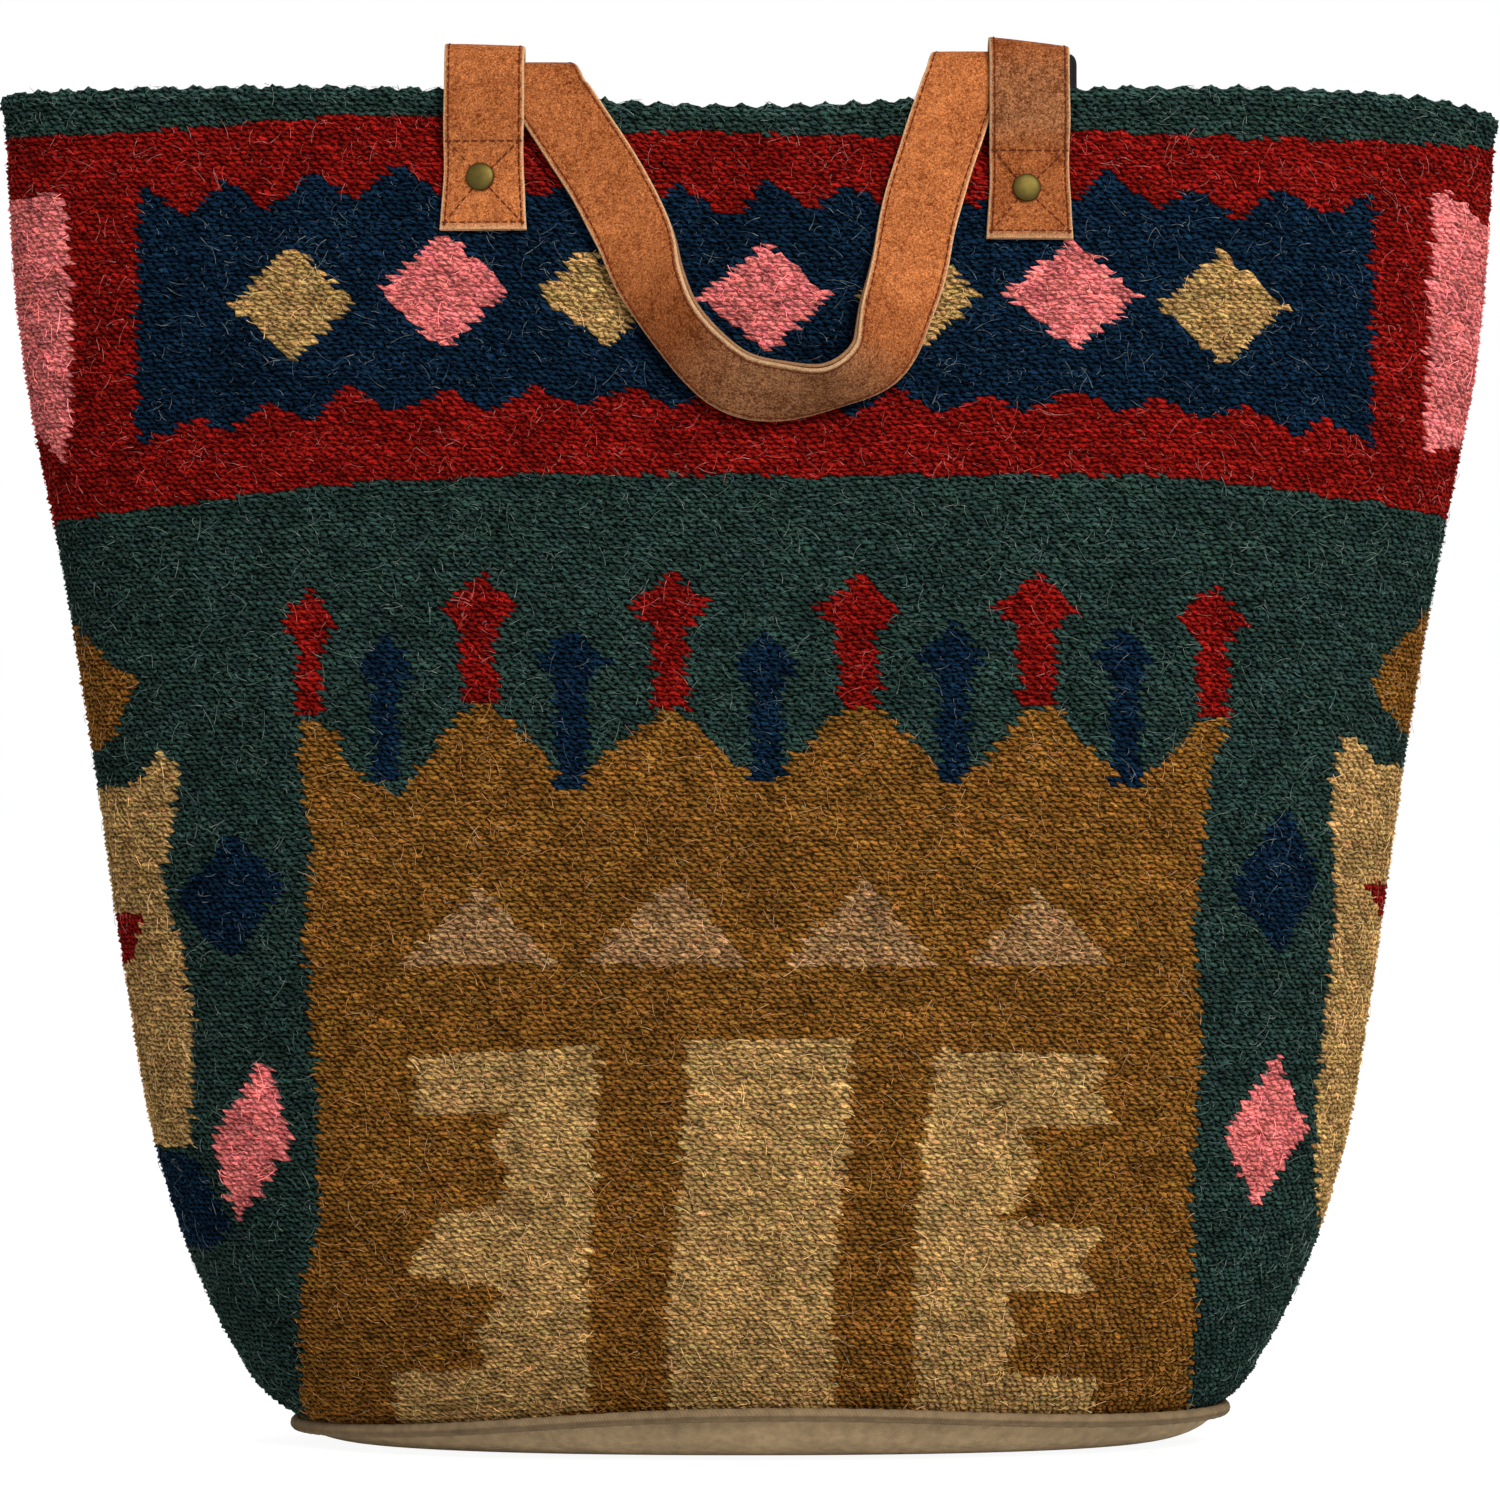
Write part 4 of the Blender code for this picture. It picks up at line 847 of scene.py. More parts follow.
def cloth_inside():
    """The inner face of the cloth, plain, from the base up into the twined edge."""
    chance = np.random.default_rng(SEED + 1)
    points = []
    for row in range(INNER_ROWS + 1):
        share = row / INNER_ROWS
        angles = even_angles(np.arange(INNER_COLUMNS) / INNER_COLUMNS, INNER_LOW + share * INNER_SPAN)
        low, high = seam_z(angles) + TOUCH, rim_z(angles) - EDGE_INSIDE + INNER_OVERLAP
        points += list(ring(angles, low + (high - low) * share, WALL - INNER_GAP))
    points = np.array(points)
    points += chance.normal(0, INNER_GAP, points.shape)
    faces = grid_faces(INNER_ROWS + 1, INNER_COLUMNS)
    inside = make_object("woven_inside", points, [face[::-1] for face in faces], WOOL)
    tone = np.exp(chance.normal(0, BEAD_SPREAD, (len(inside.data.loops), 1)))
    paint(inside, "yarn", np.array([YARNS["green"]]) * tone * INNER_TONE)
    map_corners(inside, "bead", np.full((len(inside.data.loops), 2), 0.5))
    return finish_piece(inside, "wool")


# The base

def base_cloth():
    """The canvas base: a shallow dish whose edge turns up to the seam."""
    angles = np.arange(BASE_COLUMNS) * 2 * np.pi / BASE_COLUMNS
    cosine, sine = (signed_power(part, POWER) for part in (np.cos(angles), np.sin(angles)))
    turns = [row / BASE_ROWS * math.pi / 2 for row in range(BASE_ROWS + 1)]
    stations = [(turn, 0.0) for turn in turns] + [(turn, BASE_THICKNESS) for turn in reversed(turns)]
    points, flat = [], []
    for turn, inset in stations:
        edge = ring(angles, seam_z(angles), inset)
        floor = np.stack([(FLOOR_HALF_WIDTH - inset) * cosine, -(FLOOR_HALF_DEPTH - inset) * sine,
                          np.full_like(angles, inset)], axis=-1)
        place = floor + (edge - floor) * math.sin(turn)
        place[:, 2] = floor[:, 2] + (edge[:, 2] - floor[:, 2]) * (1 - math.cos(turn))
        points.extend(place)
        flat.extend(place[:, :2] * (1 + place[:, 2:3] / BASE_SPREAD))
    end = len(points)
    points += [np.zeros(3), np.array([0, 0, BASE_THICKNESS])]
    flat += [np.zeros(2)] * 2
    faces = grid_faces(len(stations), BASE_COLUMNS)
    faces += [face[::-1] for face in fan(0, BASE_COLUMNS, end)]
    faces += fan(end - BASE_COLUMNS, BASE_COLUMNS, end + 1)
    base = make_object("canvas_base", points, faces, CANVAS)
    base.data.set_sharp_from_angle(angle=math.radians(BASE_CORNER))
    map_flat(base, flat)
    return finish_piece(base, "canvas", "base_panel")


def map_flat(made, flat):
    """A UV map in millimetres from one flat place for each point."""
    layer = made.data.uv_layers.new(name="cut")
    for corner in made.data.loops:
        layer.data[corner.index].uv = flat[corner.vertex_index]


def piping():
    """The cloth-covered cord over the seam, puckered where it is sewn."""
    points, flat = [], []
    for column in range(PIPING_COLUMNS):
        angle = column * 2 * math.pi / PIPING_COLUMNS
        here = np.array([angle, angle + 0.01, angle - 0.01])
        inner = ring(here, seam_z(here), 0.0)
        away = ring(here, seam_z(here), -OUTSIDE) - inner
        away /= np.linalg.norm(away, axis=1, keepdims=True)
        centres = inner + away * (PIPING_RADIUS + TOUCH)
        centre = Vector(centres[0]) - Vector((0, 0, PIPING_RADIUS / 2))
        ahead = Vector(centres[1] - centres[2]).normalized()
        out = ahead.cross(Vector((0, 0, -1))).normalized()
        up = ahead.cross(out).normalized()
        along = column * PIPING_LENGTH / PIPING_COLUMNS
        for side in range(PIPING_SIDES):
            turn = side * 2 * math.pi / PIPING_SIDES
            pucker = math.sin(along * 1.1 + turn) * math.sin(along * 0.37)
            radius = PIPING_RADIUS + PIPING_PUCKER * pucker
            points.append(centre + (out * math.cos(turn) + up * math.sin(turn)) * radius)
            flat.append((along + turn * 1.4, turn * PIPING_RADIUS))
    cord = make_object("seam_piping", points, grid_faces(PIPING_COLUMNS, PIPING_SIDES, True), PIPING)
    face_outwards(cord)
    map_flat(cord, flat)
    return finish_piece(cord, "piping", "base_piping")


def face_outwards(made):
    """Turns the faces of a closed piece outwards."""
    body = bmesh.new()
    body.from_mesh(made.data)
    bmesh.ops.recalc_face_normals(body, faces=body.faces)
    body.to_mesh(made.data)
    body.free()


# The leather

def from_rim(place):
    return (place[0], BAG_HEIGHT + place[1], *place[2:])


def rim_room(z):
    """How far up the way from the riveted part to the thick top edge a height is, 0 to 1."""
    share = min(max((z - LIFT_FROM) / LIFT_LENGTH, 0.0), 1.0)
    return share * share * (3 - 2 * share)


def smooth_run(stations):
    """Points on a smooth curve through stations of any length."""
    run = []
    for place in range(1, len(stations) - 2):
        p0, p1, p2, p3 = (Vector(stations[place + shift]) for shift in (-1, 0, 1, 2))
        for step in range(SPLINE_STEPS):
            t = step / SPLINE_STEPS
            bend = 2 * p0 - 5 * p1 + 4 * p2 - p3
            twist = 3 * p1 - p0 - 3 * p2 + p3
            run.append(p1 + 0.5 * t * (p2 - p0) + 0.5 * t * t * bend + 0.5 * t ** 3 * twist)
    run.append(Vector(stations[-2]))
    return run


def fold_level(end):
    """Height at which the fold of an end begins."""
    return BAG_HEIGHT + end.crease[1] - FOLD_RADIUS - STRAP / 2


def fold_slope(end):
    """How far an end of the strap leans from upright."""
    return math.atan2(abs(end.crease[0] - end.rivet[0]), end.crease[1] - end.rivet[1])


def strap_fold(end):
    """Stations of the fold over the rim: x, off the wall, z, half width."""
    slope, level = fold_slope(end), fold_level(end)
    half = STRAP_WIDTH / 2 / math.cos(slope)
    fold = []
    for step in range(FOLD_STEPS + 1):
        turn = math.pi * step / FOLD_STEPS
        along = (turn - math.pi / 2) * FOLD_RADIUS * math.tan(slope)
        fold.append((end.crease[0] + end.facing * along, FOLD_MIDDLE - FOLD_RADIUS * math.cos(turn),
                     level + FOLD_RADIUS * math.sin(turn), half))
    return fold


def strap_end(end, foot_half):
    """Rails of one end of the strap: up inside the bag past the rivet, then over the fold."""
    slope, level, fold = fold_slope(end), fold_level(end), strap_fold(end)
    root = Vector((fold[0][0], fold[0][2]))
    down = Vector((-end.facing * math.sin(slope), -math.cos(slope)))
    tail = Vector(from_rim(end.rivet)) + down * STRAP_TAIL
    low_back = WALL + LAYER_GAP + STRAP / 2
    rails = []
    for step in range(TAIL_USED):
        share = step / TAIL_STEPS
        x, z = tail.lerp(root, share)
        turn = slope * (1 - max(0.0, share - TAIL_STRAIGHT) * TAIL_TURN)
        side = Vector((math.cos(turn), -math.sin(turn))) * STRAP_WIDTH / 2
        pair = []
        for sign in (-1, 1):
            edge_x, edge_z = x + end.facing * sign * side.x, z + sign * side.y
            off = low_back + (STRAP_BACK - low_back) * rim_room(edge_z)
            pair.append(Vector((edge_x, wall_y(edge_x, min(edge_z, level)) + off, edge_z)))
        rails.append(pair)
    for step, (x, off, z, half) in enumerate(fold):
        half += (foot_half - half) * max(0.0, 2 * step / FOLD_STEPS - 1)
        edges = (x + end.facing * sign * half for sign in (-1, 1))
        rails.append([Vector((edge, wall_y(edge, level) - off, z)) for edge in edges])
    return rails


def hanging_rails():
    """Rails of the hanging run between the two folds."""
    feet, leads = [], []
    for end in ENDS.values():
        x, _, z, _ = strap_fold(end)[-1]
        slope = fold_slope(end)
        feet.append(Vector((x, z, 0)))
        leads.append(feet[-1] + Vector((-end.facing * math.sin(slope), math.cos(slope), 0)) * LEAD_IN)
    stations = (Vector(from_rim(station)) for station in HANGING_RUN)
    run = smooth_run([leads[0], feet[0], *stations, feet[1], leads[1]])[1:-1]
    rails = []
    for place, (x, z, lean) in enumerate(run):
        before, after = run[max(place - 1, 0)], run[min(place + 1, len(run) - 1)]
        ahead = Vector((after.x - before.x, after.y - before.y)).normalized()
        lean = math.radians(max(lean, 0.0))
        square = min(min((Vector((x, z)) - foot.xy).length for foot in feet) / FOLD_REACH, 1.0)
        across = Vector((-ahead.y, ahead.x)).lerp(Vector((math.copysign(1, -ahead.y), 0)), 1 - square)
        across.normalize()
        reach = STRAP_WIDTH / 2 * math.cos(lean) / across.dot(Vector((-ahead.y, ahead.x)))
        pair = []
        for sign in (-1, 1):
            edge_x, edge_z = x + sign * across.x * reach, z + sign * across.y * reach
            out = STRAP_FRONT + max(sign, 0) * STRAP_WIDTH * math.sin(lean)
            pair.append(Vector((edge_x, wall_y(edge_x, edge_z) - out, edge_z)))
        rails.append(pair)
    return rails


def handle_rails():
    """Both rails of a whole strap: one end, the hanging run and the other end."""
    run = hanging_rails()
    halves = (abs((pair[1].x - pair[0].x) / 2) for pair in (run[0], run[-1]))
    first, last = (strap_end(end, half) for end, half in zip(ENDS.values(), halves))
    pairs = first + run + last[::-1]
    return [pair[0] for pair in pairs], [pair[1] for pair in pairs]


def leg_heights(bottom):
    """Heights up a leg of a tab or a patch."""
    return [bottom + (LIFT_TO - bottom) * step / LEG_STEPS for step in range(LEG_STEPS + 1)]


def two_rails(path, middle, arch_z):
    """Both edges of a tab or patch, from stations: off the wall, z, how much wider and how much aslant."""
    rails = []
    for side in (1, -1):
        rail = []
        for off, z, wider, slant in path:
            x = middle + side * (TAB_WIDTH / 2 + wider)
            rail.append(Vector((x, wall_y(x, min(z, arch_z)) + off, z - side * slant)))
        rails.append(rail)
    return rails


def tab_rails(end):
    """Rails of a tab folded over the rim and the strap."""
    bottom, arch_z = BAG_HEIGHT - end.drop, fold_level(end)
    arch_middle, arch_half = (TAB_FRONT - TAB_BACK) / 2, (TAB_FRONT + TAB_BACK) / 2
    arch_rise = BAG_HEIGHT + end.rise - TAB_THICKNESS / 2 - arch_z
    legs = leg_heights(bottom)
    path = [(-TAB_LOW_FRONT - (TAB_FRONT - TAB_LOW_FRONT) * rim_room(z), z, 0.0) for z in legs]
    for step in range(FOLD_STEPS + 1):
        turn = math.pi * step / FOLD_STEPS
        path.append((-arch_middle - arch_half * math.cos(turn), arch_z + arch_rise * math.sin(turn),
                     end.slant * math.sin(turn)))
    path += [(TAB_LOW_BACK + (TAB_BACK - TAB_LOW_BACK) * rim_room(z), z, 0.0) for z in reversed(legs)]
    flares = (TAB_FLARE * max(0.0, 1 - (z - bottom) / FLARE_LENGTH) for _, z, _ in path)
    flared = [(off, z, flare, slant) for (off, z, slant), flare in zip(path, flares)]
    return two_rails(flared, end.middle, arch_z)


def patch_rails(end):
    """Rails of the near-black patch behind a tab's inner leg, a dark sheet painted in as shade."""
    top, arch_z = BAG_HEIGHT + end.patch_rise, fold_level(end)
    step_in = (TAB_THICKNESS + PATCH_THICKNESS) / 2 + TOUCH
    heights = leg_heights(BAG_HEIGHT - end.drop + PATCH_INSET) + [arch_z, top - PATCH_ROUNDING * 2]
    heights += [top - PATCH_ROUNDING * (1 - math.sin(math.pi / 2 * step / PATCH_STEPS)) * PATCH_CORNER
                for step in range(PATCH_STEPS + 1)]
    path = []
    for z in heights:
        off = TAB_LOW_BACK + (TAB_BACK - TAB_LOW_BACK) * rim_room(z) + step_in
        near_top = max(0.0, 1 - (top - z) / (PATCH_ROUNDING * PATCH_CORNER))
        path.append((off, z, -PATCH_ROUNDING * (1 - math.sqrt(1 - near_top ** 2)), 0.0))
    return two_rails(path, end.middle + end.patch_shift, arch_z)


def section_points(inner, outer):
    """The section of a flat strap: share across, mm from the nearer edge, level, cut and groove shares; the
    groove sinks the stitching row and is painted with shade.
    """
    half = [(0.0, 1.0, 0.0), (ROUNDING, 0.9, 0.0), (CUT_BAND, 0.15, 0.0), (STITCH_IN - ROW_ABOVE, 0.0, 0.0),
            (STITCH_IN, 0.0, 1.0), (STITCH_IN + ROW_BELOW, 0.0, 0.0)]
    across = [(0.0, shift, cut, groove_and_shade) for shift, cut, groove_and_shade in half]
    across += [(share, 0.0, 0.0, 0.0) for share in (0.25, 0.5, 0.75)]
    across += [(1.0, -shift, cut, groove_and_shade) for shift, cut, groove_and_shade in reversed(half)]
    section = []
    for level, middle, order in ((outer, outer - inner, across), (inner, inner - outer, across[::-1])):
        out = math.copysign(1.0, middle)
        for share, shift, cut, groove_and_shade in order:
            dip = ROUNDING if cut == 1.0 else ROUNDING * 0.25 * (cut > 0.5) + STITCH_DIP * groove_and_shade
            swell = CROWN * 4 * share * (1 - share)
            section.append((share, shift, level + out * (swell - dip), cut, groove_and_shade))
    return section


def rail_frames(rails):
    """At each place of two rails: both points, the way across and the way out of the face."""
    rail_a, rail_b = rails
    for place, (a, b) in enumerate(zip(rail_a, rail_b)):
        before, after = max(place - 1, 0), min(place + 1, len(rail_a) - 1)
        ahead = (rail_a[after] + rail_b[after] - rail_a[before] - rail_b[before]).normalized()
        across = (b - a).normalized()
        yield a, b, across, ahead.cross(across).normalized()


def band(name, rails, inner, outer, material, shade_by_place=None, stray=STRAY):
    """A flat strap between two rails, with rounded pale edges, sunk rows with painted shade in them, painted
    shade by place and sides that stray a little.
    """
    section = section_points(inner, outer)
    points, marks, along = [], [], 0.0
    last, sides = len(rails[0]) - 1, len(section)
    for place, (a, b, across, out) in enumerate(rail_frames(rails)):
        if place:
            along += ((a + b - rails[0][place - 1] - rails[1][place - 1]) / 2).length
        near = (math.sin(along / 11.0) + math.sin(along / 4.3 + 1)) * stray / 2
        far = math.sin(along / 6.1 + 2) * stray / 3
        width = (b - a).length
        for share, shift, level, cut, groove_and_shade in section:
            edge = near if share < 0.5 else far
            reach = share * width + shift + edge * (abs(share - 0.5) * 2)
            points.append(a + across * reach + out * level)
            marks.append((max(cut, END_CUT * (place in (0, last))), shade_by_place[place] if shade_by_place else 0.0, groove_and_shade))
    faces = grid_faces(last + 1, sides)
    faces += [tuple(range(sides)), tuple(reversed(range(last * sides, (last + 1) * sides)))]
    made = make_object(name, points, faces, material)
    face_outwards(made)
    made.data.set_sharp_from_angle(angle=math.radians(LEATHER_CORNER))
    paint(made, "edge", np.array([marks[corner.vertex_index] for corner in made.data.loops]))
    return made


def strap_painted_shade(rails):
    """How much painted shade each place of a strap gets: most where it hangs lowest and faces down, some on
    its left half.
    """
    middles = [(a + b) / 2 for a, b in zip(*rails)]
    low = [min(max((BAG_HEIGHT + SHADE_BELOW - middle.z) / SHADE_LENGTH, 0.0), 1.0) for middle in middles]
    return [SHADE_LOW * share + SHADE_LEFT * (middle.x < 0) * (1 - share)
            for share, middle in zip(low, middles)]


def tab_darkening(rails, base):
    """How dark each place of a tab is painted: the end's painted shade, and a darker band between the fold
    and the box of stitches.
    """
    heights = [(a.z + b.z) / 2 - BAG_HEIGHT for a, b in zip(*rails)]
    return [base + TAB_DARK_BAND * math.exp(-((height + TAB_DARK_BAND_AT) / TAB_DARK_BAND_LENGTH) ** 2)
            for height in heights]


def mirrored(made, name):
    """The same piece on the back, mirrored through the bag's middle plane."""
    mesh = made.data.copy()
    mesh.transform(Matrix.Scale(-1, 4, Vector((0, 1, 0))))
    mesh.flip_normals()
    mesh.name = name
    return put(name, mesh)


def wall_frame(place):
    """A turn and place that put +Z along the wall's outward normal at a rivet."""
    x, z = from_rim(place)
    slope_x = (wall_y(x + 1, z) - wall_y(x - 1, z)) / 2
    slope_z = (wall_y(x, z + 1) - wall_y(x, z - 1)) / 2
    outward = Vector((slope_x, -1, slope_z)).normalized()
    turn = Vector((0, 0, 1)).rotation_difference(outward).to_matrix().to_4x4()
    return Matrix.Translation(Vector((x, wall_y(x, z), z))) @ turn, -outward.y


def rivet(name, place):
    """A double-cap rivet with a domed, rolled cap on both ends of its post."""
    turn, squareness = wall_frame(place)
    front, back = RIVET_STACK_FRONT * squareness, -RIVET_STACK_BACK * squareness - TOUCH
    turns = [step * math.pi / (2 * CAP_STEPS) for step in range(1, CAP_STEPS)]
    half = [(CAP_RADIUS * math.sin(bend), CAP_HEIGHT * math.cos(bend) ** 0.5) for bend in turns]
    half += [(CAP_RADIUS, CAP_HEIGHT * CAP_LIP), (CAP_RADIUS * CAP_UNDERSIDE, 0.0), (POST_RADIUS, 0.0)]
    profile = [(radius, front + rise) for radius, rise in half]
    profile += [(radius, back - rise) for radius, rise in reversed(half)]
    points = [turn @ Vector((0, 0, front + CAP_HEIGHT))]
    for radius, level in profile:
        for side in range(RIVET_SIDES):
            angle = side * 2 * math.pi / RIVET_SIDES
            points.append(turn @ Vector((radius * math.cos(angle), radius * math.sin(angle), level)))
    points.append(turn @ Vector((0, 0, back - CAP_HEIGHT)))
    last = len(points) - 1
    faces = [tuple(corner + 1 for corner in face) for face in grid_faces(len(profile), RIVET_SIDES)]
    faces += fan(1, RIVET_SIDES, 0) + [face[::-1] for face in fan(last - RIVET_SIDES, RIVET_SIDES, last)]
    made = make_object(name, points, faces, BRASS)
    face_outwards(made)
    made.data.set_sharp_from_angle(angle=math.radians(BRASS_CORNER))
    return made


# Stitches and loose fibres grow on curves and cloth by Geometry Nodes

def node_group(name, inputs):
    """An empty geometry tree with named inputs, and the value of each input."""
    group = bpy.data.node_groups.new(name, "GeometryNodeTree")
    group.interface.new_socket(name="Geometry", in_out="INPUT", socket_type="NodeSocketGeometry")
    for label, kind in inputs.items():
        group.interface.new_socket(name=label, in_out="INPUT", socket_type="NodeSocket" + kind)
    group.interface.new_socket(name="Geometry", in_out="OUTPUT", socket_type="NodeSocketGeometry")
    tree = Tree(group)
    source = tree.add("NodeGroupInput")
    return group, tree, {label: tree.other(source, label) for label in ("Geometry", *inputs)}


def close_group(tree, shape, material):
    """Realize Instances, Set Material and the group's output."""
    real = tree.add("GeometryNodeRealizeInstances", {0: shape})
    dressed = tree.add("GeometryNodeSetMaterial", {"Geometry": real, "Material": material})
    tree.add("NodeGroupOutput", {"Geometry": dressed})


def grown(name, source, group, values):
    """The plain mesh that a geometry tree makes on a source object."""
    modifier = source.modifiers.new("grow", "NODES")
    modifier.node_group = group
    for item in group.interface.items_tree:
        if item.in_out == "INPUT" and item.name in values:
            modifier[item.identifier] = values[item.name]
    depsgraph = bpy.context.evaluated_depsgraph_get()
    mesh = bpy.data.meshes.new_from_object(source.evaluated_get(depsgraph))
    mesh.name = name
    source.modifiers.remove(modifier)
    return put(name, mesh)


def stitch_group():
    """Stitches of one pitch along every polyline of a mesh."""
    group, tree, given = node_group("stitch_line", {
        "Pitch": "Float", "Stitch Length": "Float", "Thread Radius": "Float", "Material": "Material"})
    curve = tree.add("GeometryNodeMeshToCurve", {"Mesh": given["Geometry"]})
    spots = tree.add("GeometryNodeCurveToPoints", {"Curve": curve, "Length": given["Pitch"]}, mode="LENGTH")
    bead = tree.add("GeometryNodeMeshUVSphere", {"Segments": 7, "Rings": 5, "Radius": 1.0})
    size = tree.add("ShaderNodeCombineXYZ", {
        0: given["Thread Radius"], 1: given["Thread Radius"], 2: given["Stitch Length"] * 0.5})
    placed = tree.add("GeometryNodeInstanceOnPoints", {
        "Points": spots, "Instance": bead, "Rotation": tree.other(spots, "Rotation"), "Scale": size})
    close_group(tree, placed, given["Material"])
    return group


def fibre_group():
    """Loose fibres that lie along the cloth, thin, a little bent and in every direction."""
    group, tree, given = node_group("loose_fibres", {
        "Density": "Float", "Shortest": "Float", "Longest": "Float", "Lift": "Float",
        "Thinness": "Float", "Material": "Material"})
    spots = tree.add("GeometryNodeDistributePointsOnFaces", {
        "Mesh": given["Geometry"], "Density": given["Density"], "Seed": SEED}, distribute_method="RANDOM")
    strand = tree.add("GeometryNodeCurveQuadraticBezier", {
        "Resolution": 3, "Start": (-0.5, 0, -0.1), "Middle": (0.05, 0.9, 0.9), "End": (0.5, -0.2, 0.25)})
    profile = tree.add("GeometryNodeCurvePrimitiveCircle", {
        "Resolution": 3, "Radius": given["Thinness"]})
    hair = tree.add("GeometryNodeCurveToMesh", {"Curve": strand, "Profile Curve": profile})
    turn, share = (
        tree.add("FunctionNodeRandomValue", {2: 0.0, 3: most, "Seed": seed}, 1, data_type="FLOAT")
        for most, seed in ((2 * math.pi, 3), (1.0, 5)))
    spin = tree.add("ShaderNodeCombineXYZ", {2: turn})
    facing = tree.add("FunctionNodeRotateRotation", {0: tree.other(spots, "Rotation"), 1: spin},
                      rotation_space="LOCAL")
    length = given["Shortest"] + (given["Longest"] - given["Shortest"]) * share ** 3
    size = tree.add("ShaderNodeCombineXYZ", {0: length, 1: given["Lift"], 2: given["Lift"]})
    placed = tree.add("GeometryNodeInstanceOnPoints", {
        "Points": spots, "Instance": hair, "Rotation": facing, "Scale": size})
    close_group(tree, placed, given["Material"])
    return group


def polylines(name, lines):
    """A mesh of open and closed lines, as a path for stitches."""
    points, edges = [], []
    for line in lines:
        start = len(points)
        points += [Vector(point) * MM for point in line]
        edges += [(number, number + 1) for number in range(start, len(points) - 1)]
    mesh = bpy.data.meshes.new(name)
    mesh.from_pydata(points, edges, [])
    return put(name, mesh)


def band_line(rails, inset, level):
    """A line on a strap's face, some millimetres in from the first rail, or from the second if below 0."""
    return [(a if inset > 0 else b) + across * inset + out * level
            for a, b, across, out in rail_frames(rails)]


def edge_rows(rails, level):
    """The two rows of stitches along a strap's edges."""
    return [band_line(rails, STITCH_IN, level), band_line(rails, -STITCH_IN, level)]


def tab_stitch_lines(rails, end):
    """The edge rows, the box and the cross towards the rivet on a tab's front leg."""
    right, left = edge_rows(rails, TAB_THICKNESS / 2)
    box_top = BAG_HEIGHT - end.drop + BOX_HEIGHT
    low, high = 1, [place for place, point in enumerate(rails[0][:LEG_STEPS + 1]) if point.z <= box_top][-1]
    over = LEG_STEPS + FOLD_STEPS + 2
    raised = Vector((0, -ROW_RAISED, 0))
    lines = [right[low:over], left[low:over], [right[low], left[low]],
             [right[high] + raised, left[high] + raised]]
    centre_x, centre_z = from_rim(end.rivet)
    middle = (right[(low + high) // 2] + left[(low + high) // 2]) / 2
    spot = Vector((centre_x, middle.y, centre_z))
    for corner in (right[low], left[low], right[high], left[high]):
        reach = (spot - corner).length
        lines.append([corner, corner.lerp(spot, 1 - (CAP_RADIUS + CROSS_GAP) / reach)])
    return lines


def leather_and_metal():
    """Straps, tabs, patches, rivets and their stitching, front and rear."""
    strap = handle_rails()
    half_gap = TOUCH / 2
    face = band("strap_face", strap, half_gap, half_gap + PLY, SUEDE, strap_painted_shade(strap))
    backing = band("strap_backing", strap, -half_gap - PLY, -half_gap, BACKING)
    pieces = [(face, "suede", "handle_face"), (backing, "suede_backing", "handle_backing")]
    lines = edge_rows(strap, half_gap + PLY - STITCH_DIP)
    for name, end in ENDS.items():
        rails = tab_rails(end)
        made = band(f"suede_tab_{name}", rails, -TAB_THICKNESS / 2, TAB_THICKNESS / 2, SUEDE,
                    tab_darkening(rails, end.worn))
        pieces.append((made, "suede", f"tab_{name}"))
        lines += tab_stitch_lines(rails, end)
    # The near-black patches are painted shade; the right one peeks out beside its tab
    for name, end in ENDS.items():
        made = band(f"leather_patch_{name}", patch_rails(end), -PATCH_THICKNESS / 2, PATCH_THICKNESS / 2,
                    SHADE_BLACK_LEATHER, stray=PATCH_STRAY)
        pieces.append((made, "black_leather", f"patch_{name}"))
    for name, end in ENDS.items():
        pieces.append((rivet(f"brass_rivet_{name}", end.rivet), "brass", f"rivet_{name}"))
    path = polylines("stitch_path", lines)
    stitches = grown("stitching", path, stitch_group(), {
        "Pitch": STITCH_PITCH * MM, "Stitch Length": STITCH_LENGTH * MM,
        "Thread Radius": THREAD_RADIUS * MM, "Material": THREAD})
    bpy.data.objects.remove(path)
    for made, slot, node in pieces:
        finish_piece(mirrored(made, "rear_" + made.name), slot, "rear_" + node)
        finish_piece(made, slot, node)
    finish_piece(mirrored(stitches, "rear_stitching"), "suede")
    finish_piece(stitches, "suede")


def loose_fibres(panels):
    """Wool fibres that have worked loose from the cloth."""
    group = fibre_group()
    for panel in panels:
        made = grown(panel.name.replace("woven", "fibres"), panel, group, {
            "Density": FIBRES_PER_SQUARE_METRE, "Shortest": FIBRE_SHORTEST * MM,
            "Longest": FIBRE_LONGEST * MM, "Lift": FIBRE_LIFT * MM, "Thinness": FIBRE_THINNESS,
            "Material": HAIR})
        finish_piece(made, "wool")


# Floor, light and camera

CAMERA_DISTANCE = 2.0
CAMERA_HEIGHT = 0.241
CAMERA_LENS = 137.1
SENSOR = 36.0
LAMP_AIM = Vector((0, 0, 0.25))
WORLD_LIGHT = 0.42
FLOOR_HALF = 20000
FLOOR_LEVEL = -0.5
FLOOR_GREY = 0.85
FLOOR_WHITE = 1.16
FLOOR_SHOWN = 0.8


def shown(tree):
    """1 for rays of the camera, off metal or through glass, and 0 for the light on the bag."""
    path = tree.add("ShaderNodeLightPath", out="Is Camera Ray")
    glossy = path.math("MAXIMUM", tree.other(path, "Is Glossy Ray"))
    return glossy.math("MAXIMUM", tree.other(path, "Is Transmission Ray"))


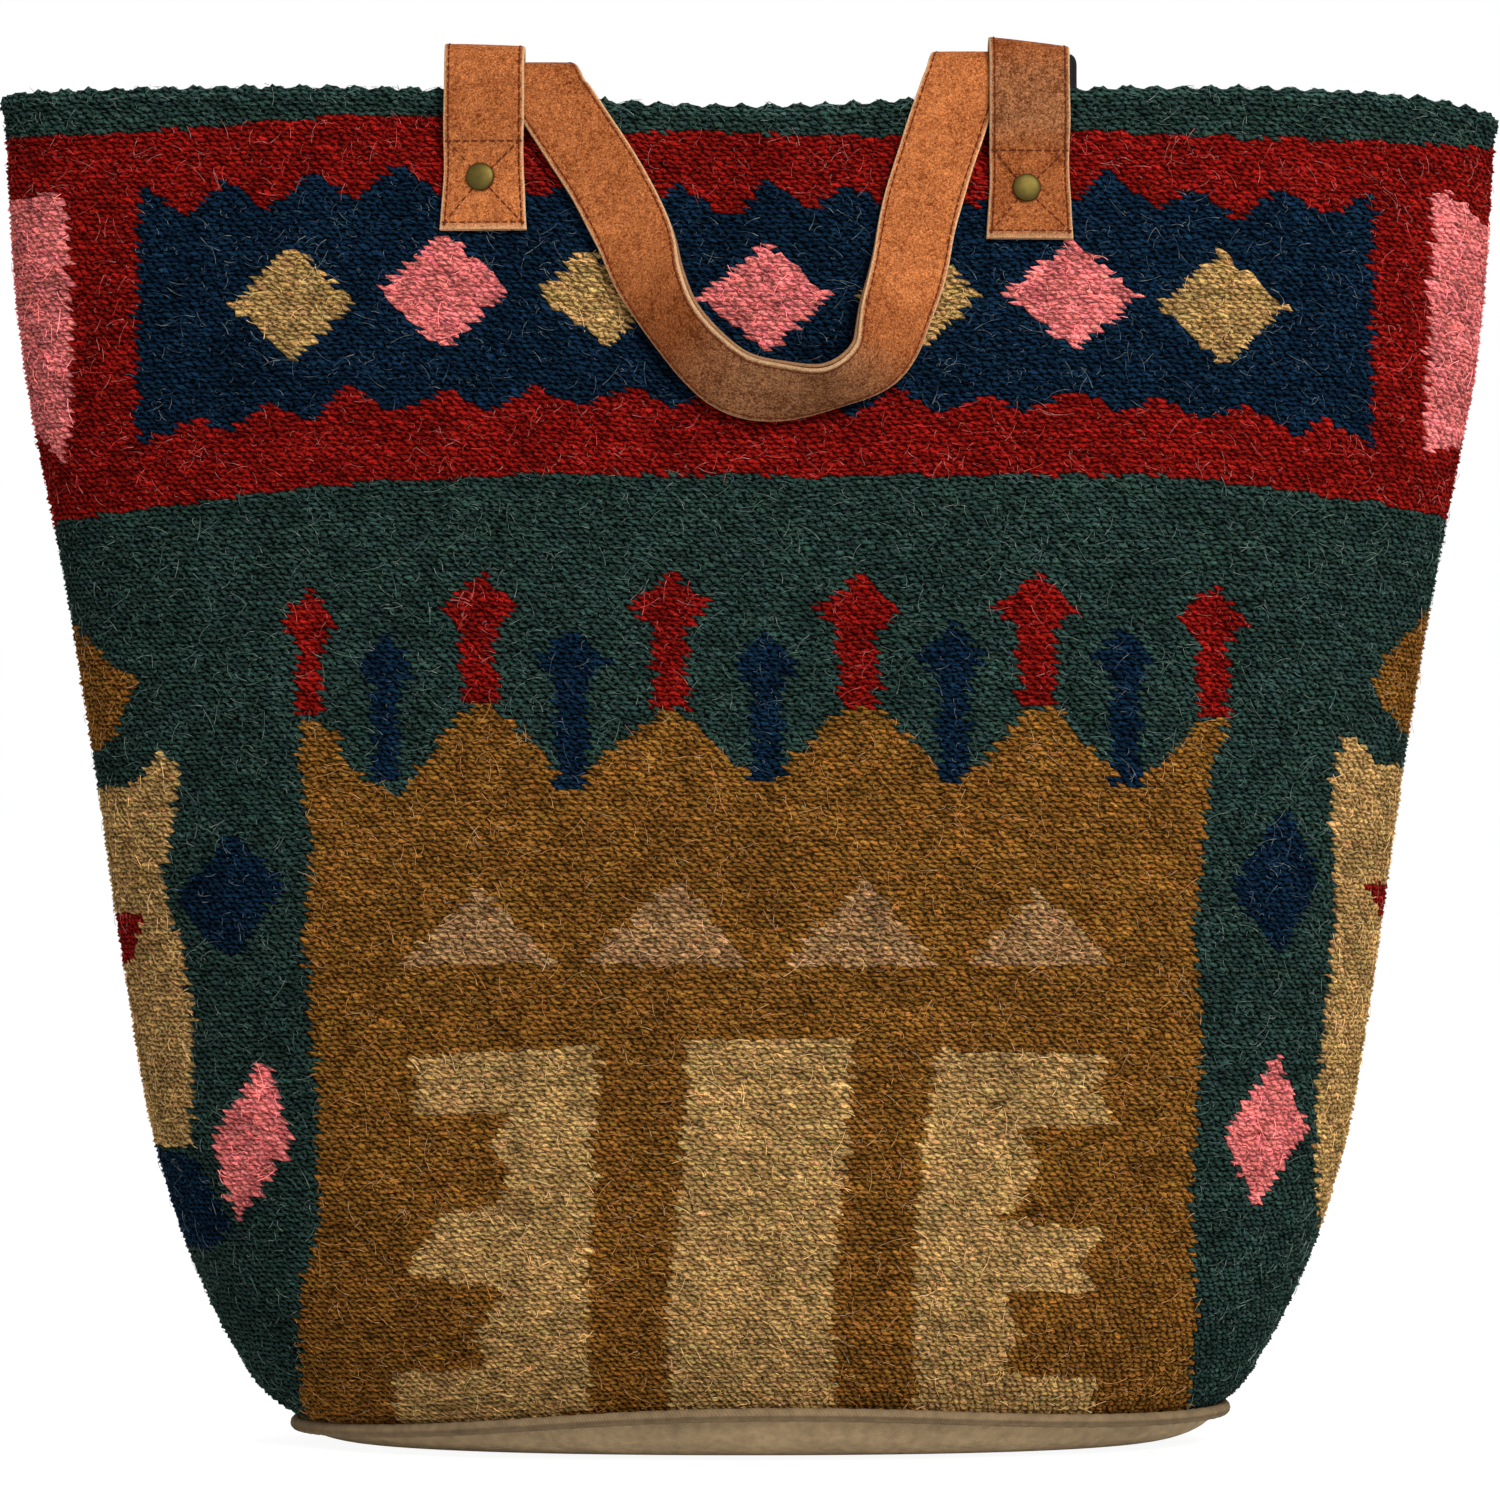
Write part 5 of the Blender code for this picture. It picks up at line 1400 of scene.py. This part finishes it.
def floor_material():
    """White for the camera and pale for light, so that the bag keeps a faint shadow."""
    floor = Finish("pale_floor")
    pale = floor.add("ShaderNodeBsdfDiffuse", {"Color": floor.colour([FLOOR_GREY] * 3)})
    white = floor.add("ShaderNodeEmission", {"Color": (1, 1, 1, 1), "Strength": FLOOR_WHITE})
    mixed = floor.add("ShaderNodeMixShader", {0: shown(floor) * FLOOR_SHOWN, 1: pale, 2: white})
    floor.add("ShaderNodeOutputMaterial", {"Surface": mixed})
    return floor.material


def stage():
    corners = [(x * FLOOR_HALF, y * FLOOR_HALF, FLOOR_LEVEL) for x, y in ((-1, -1), (1, -1), (1, 1), (-1, 1))]
    make_object("floor", corners, [(0, 1, 2, 3)], floor_material(), smooth=False)


def world_light():
    """White where the camera or a reflection sees it, soft light elsewhere."""
    world = bpy.data.worlds.new("soft_studio")
    bpy.context.scene.world = world
    world.use_nodes = True
    world.node_tree.nodes.clear()
    tree = Tree(world.node_tree)
    light, white = (
        tree.add("ShaderNodeBackground", {"Color": (1, 1, 1, 1), "Strength": strength})
        for strength in (WORLD_LIGHT, 1.0))
    mixed = tree.add("ShaderNodeMixShader", {0: shown(tree), 1: light, 2: white})
    tree.add("ShaderNodeOutputWorld", {"Surface": mixed})


def soft_lamp(name, place, size, power):
    lamp = bpy.data.lights.new(name, "AREA")
    lamp.shape = "DISK"
    lamp.size = size
    lamp.energy = power
    made = put(name, lamp)
    made.location = place
    made.rotation_euler = (LAMP_AIM - Vector(place)).to_track_quat("-Z", "Y").to_euler()


def camera():
    lens = bpy.data.cameras.new("camera")
    lens.lens = CAMERA_LENS
    lens.sensor_width = SENSOR
    lens.clip_end = 100
    made = put("camera", lens)
    made.location = (0, -CAMERA_DISTANCE, CAMERA_HEIGHT)
    made.rotation_euler = (math.pi / 2, 0, 0)
    bpy.context.scene.camera = made


panels = woven_cloth()
cloth_inside()
base_cloth()
piping()
leather_and_metal()
loose_fibres(panels)
stage()
world_light()
soft_lamp("key_lamp", (1.1, -2.3, 2.0), 1.2, 86)
soft_lamp("fill_lamp", (-1.5, -1.8, 0.9), 1.5, 2)
soft_lamp("rear_lamp", (0.8, 2.2, 1.8), 1.6, 52)
camera()
bpy.context.scene.view_settings.view_transform = "Standard"
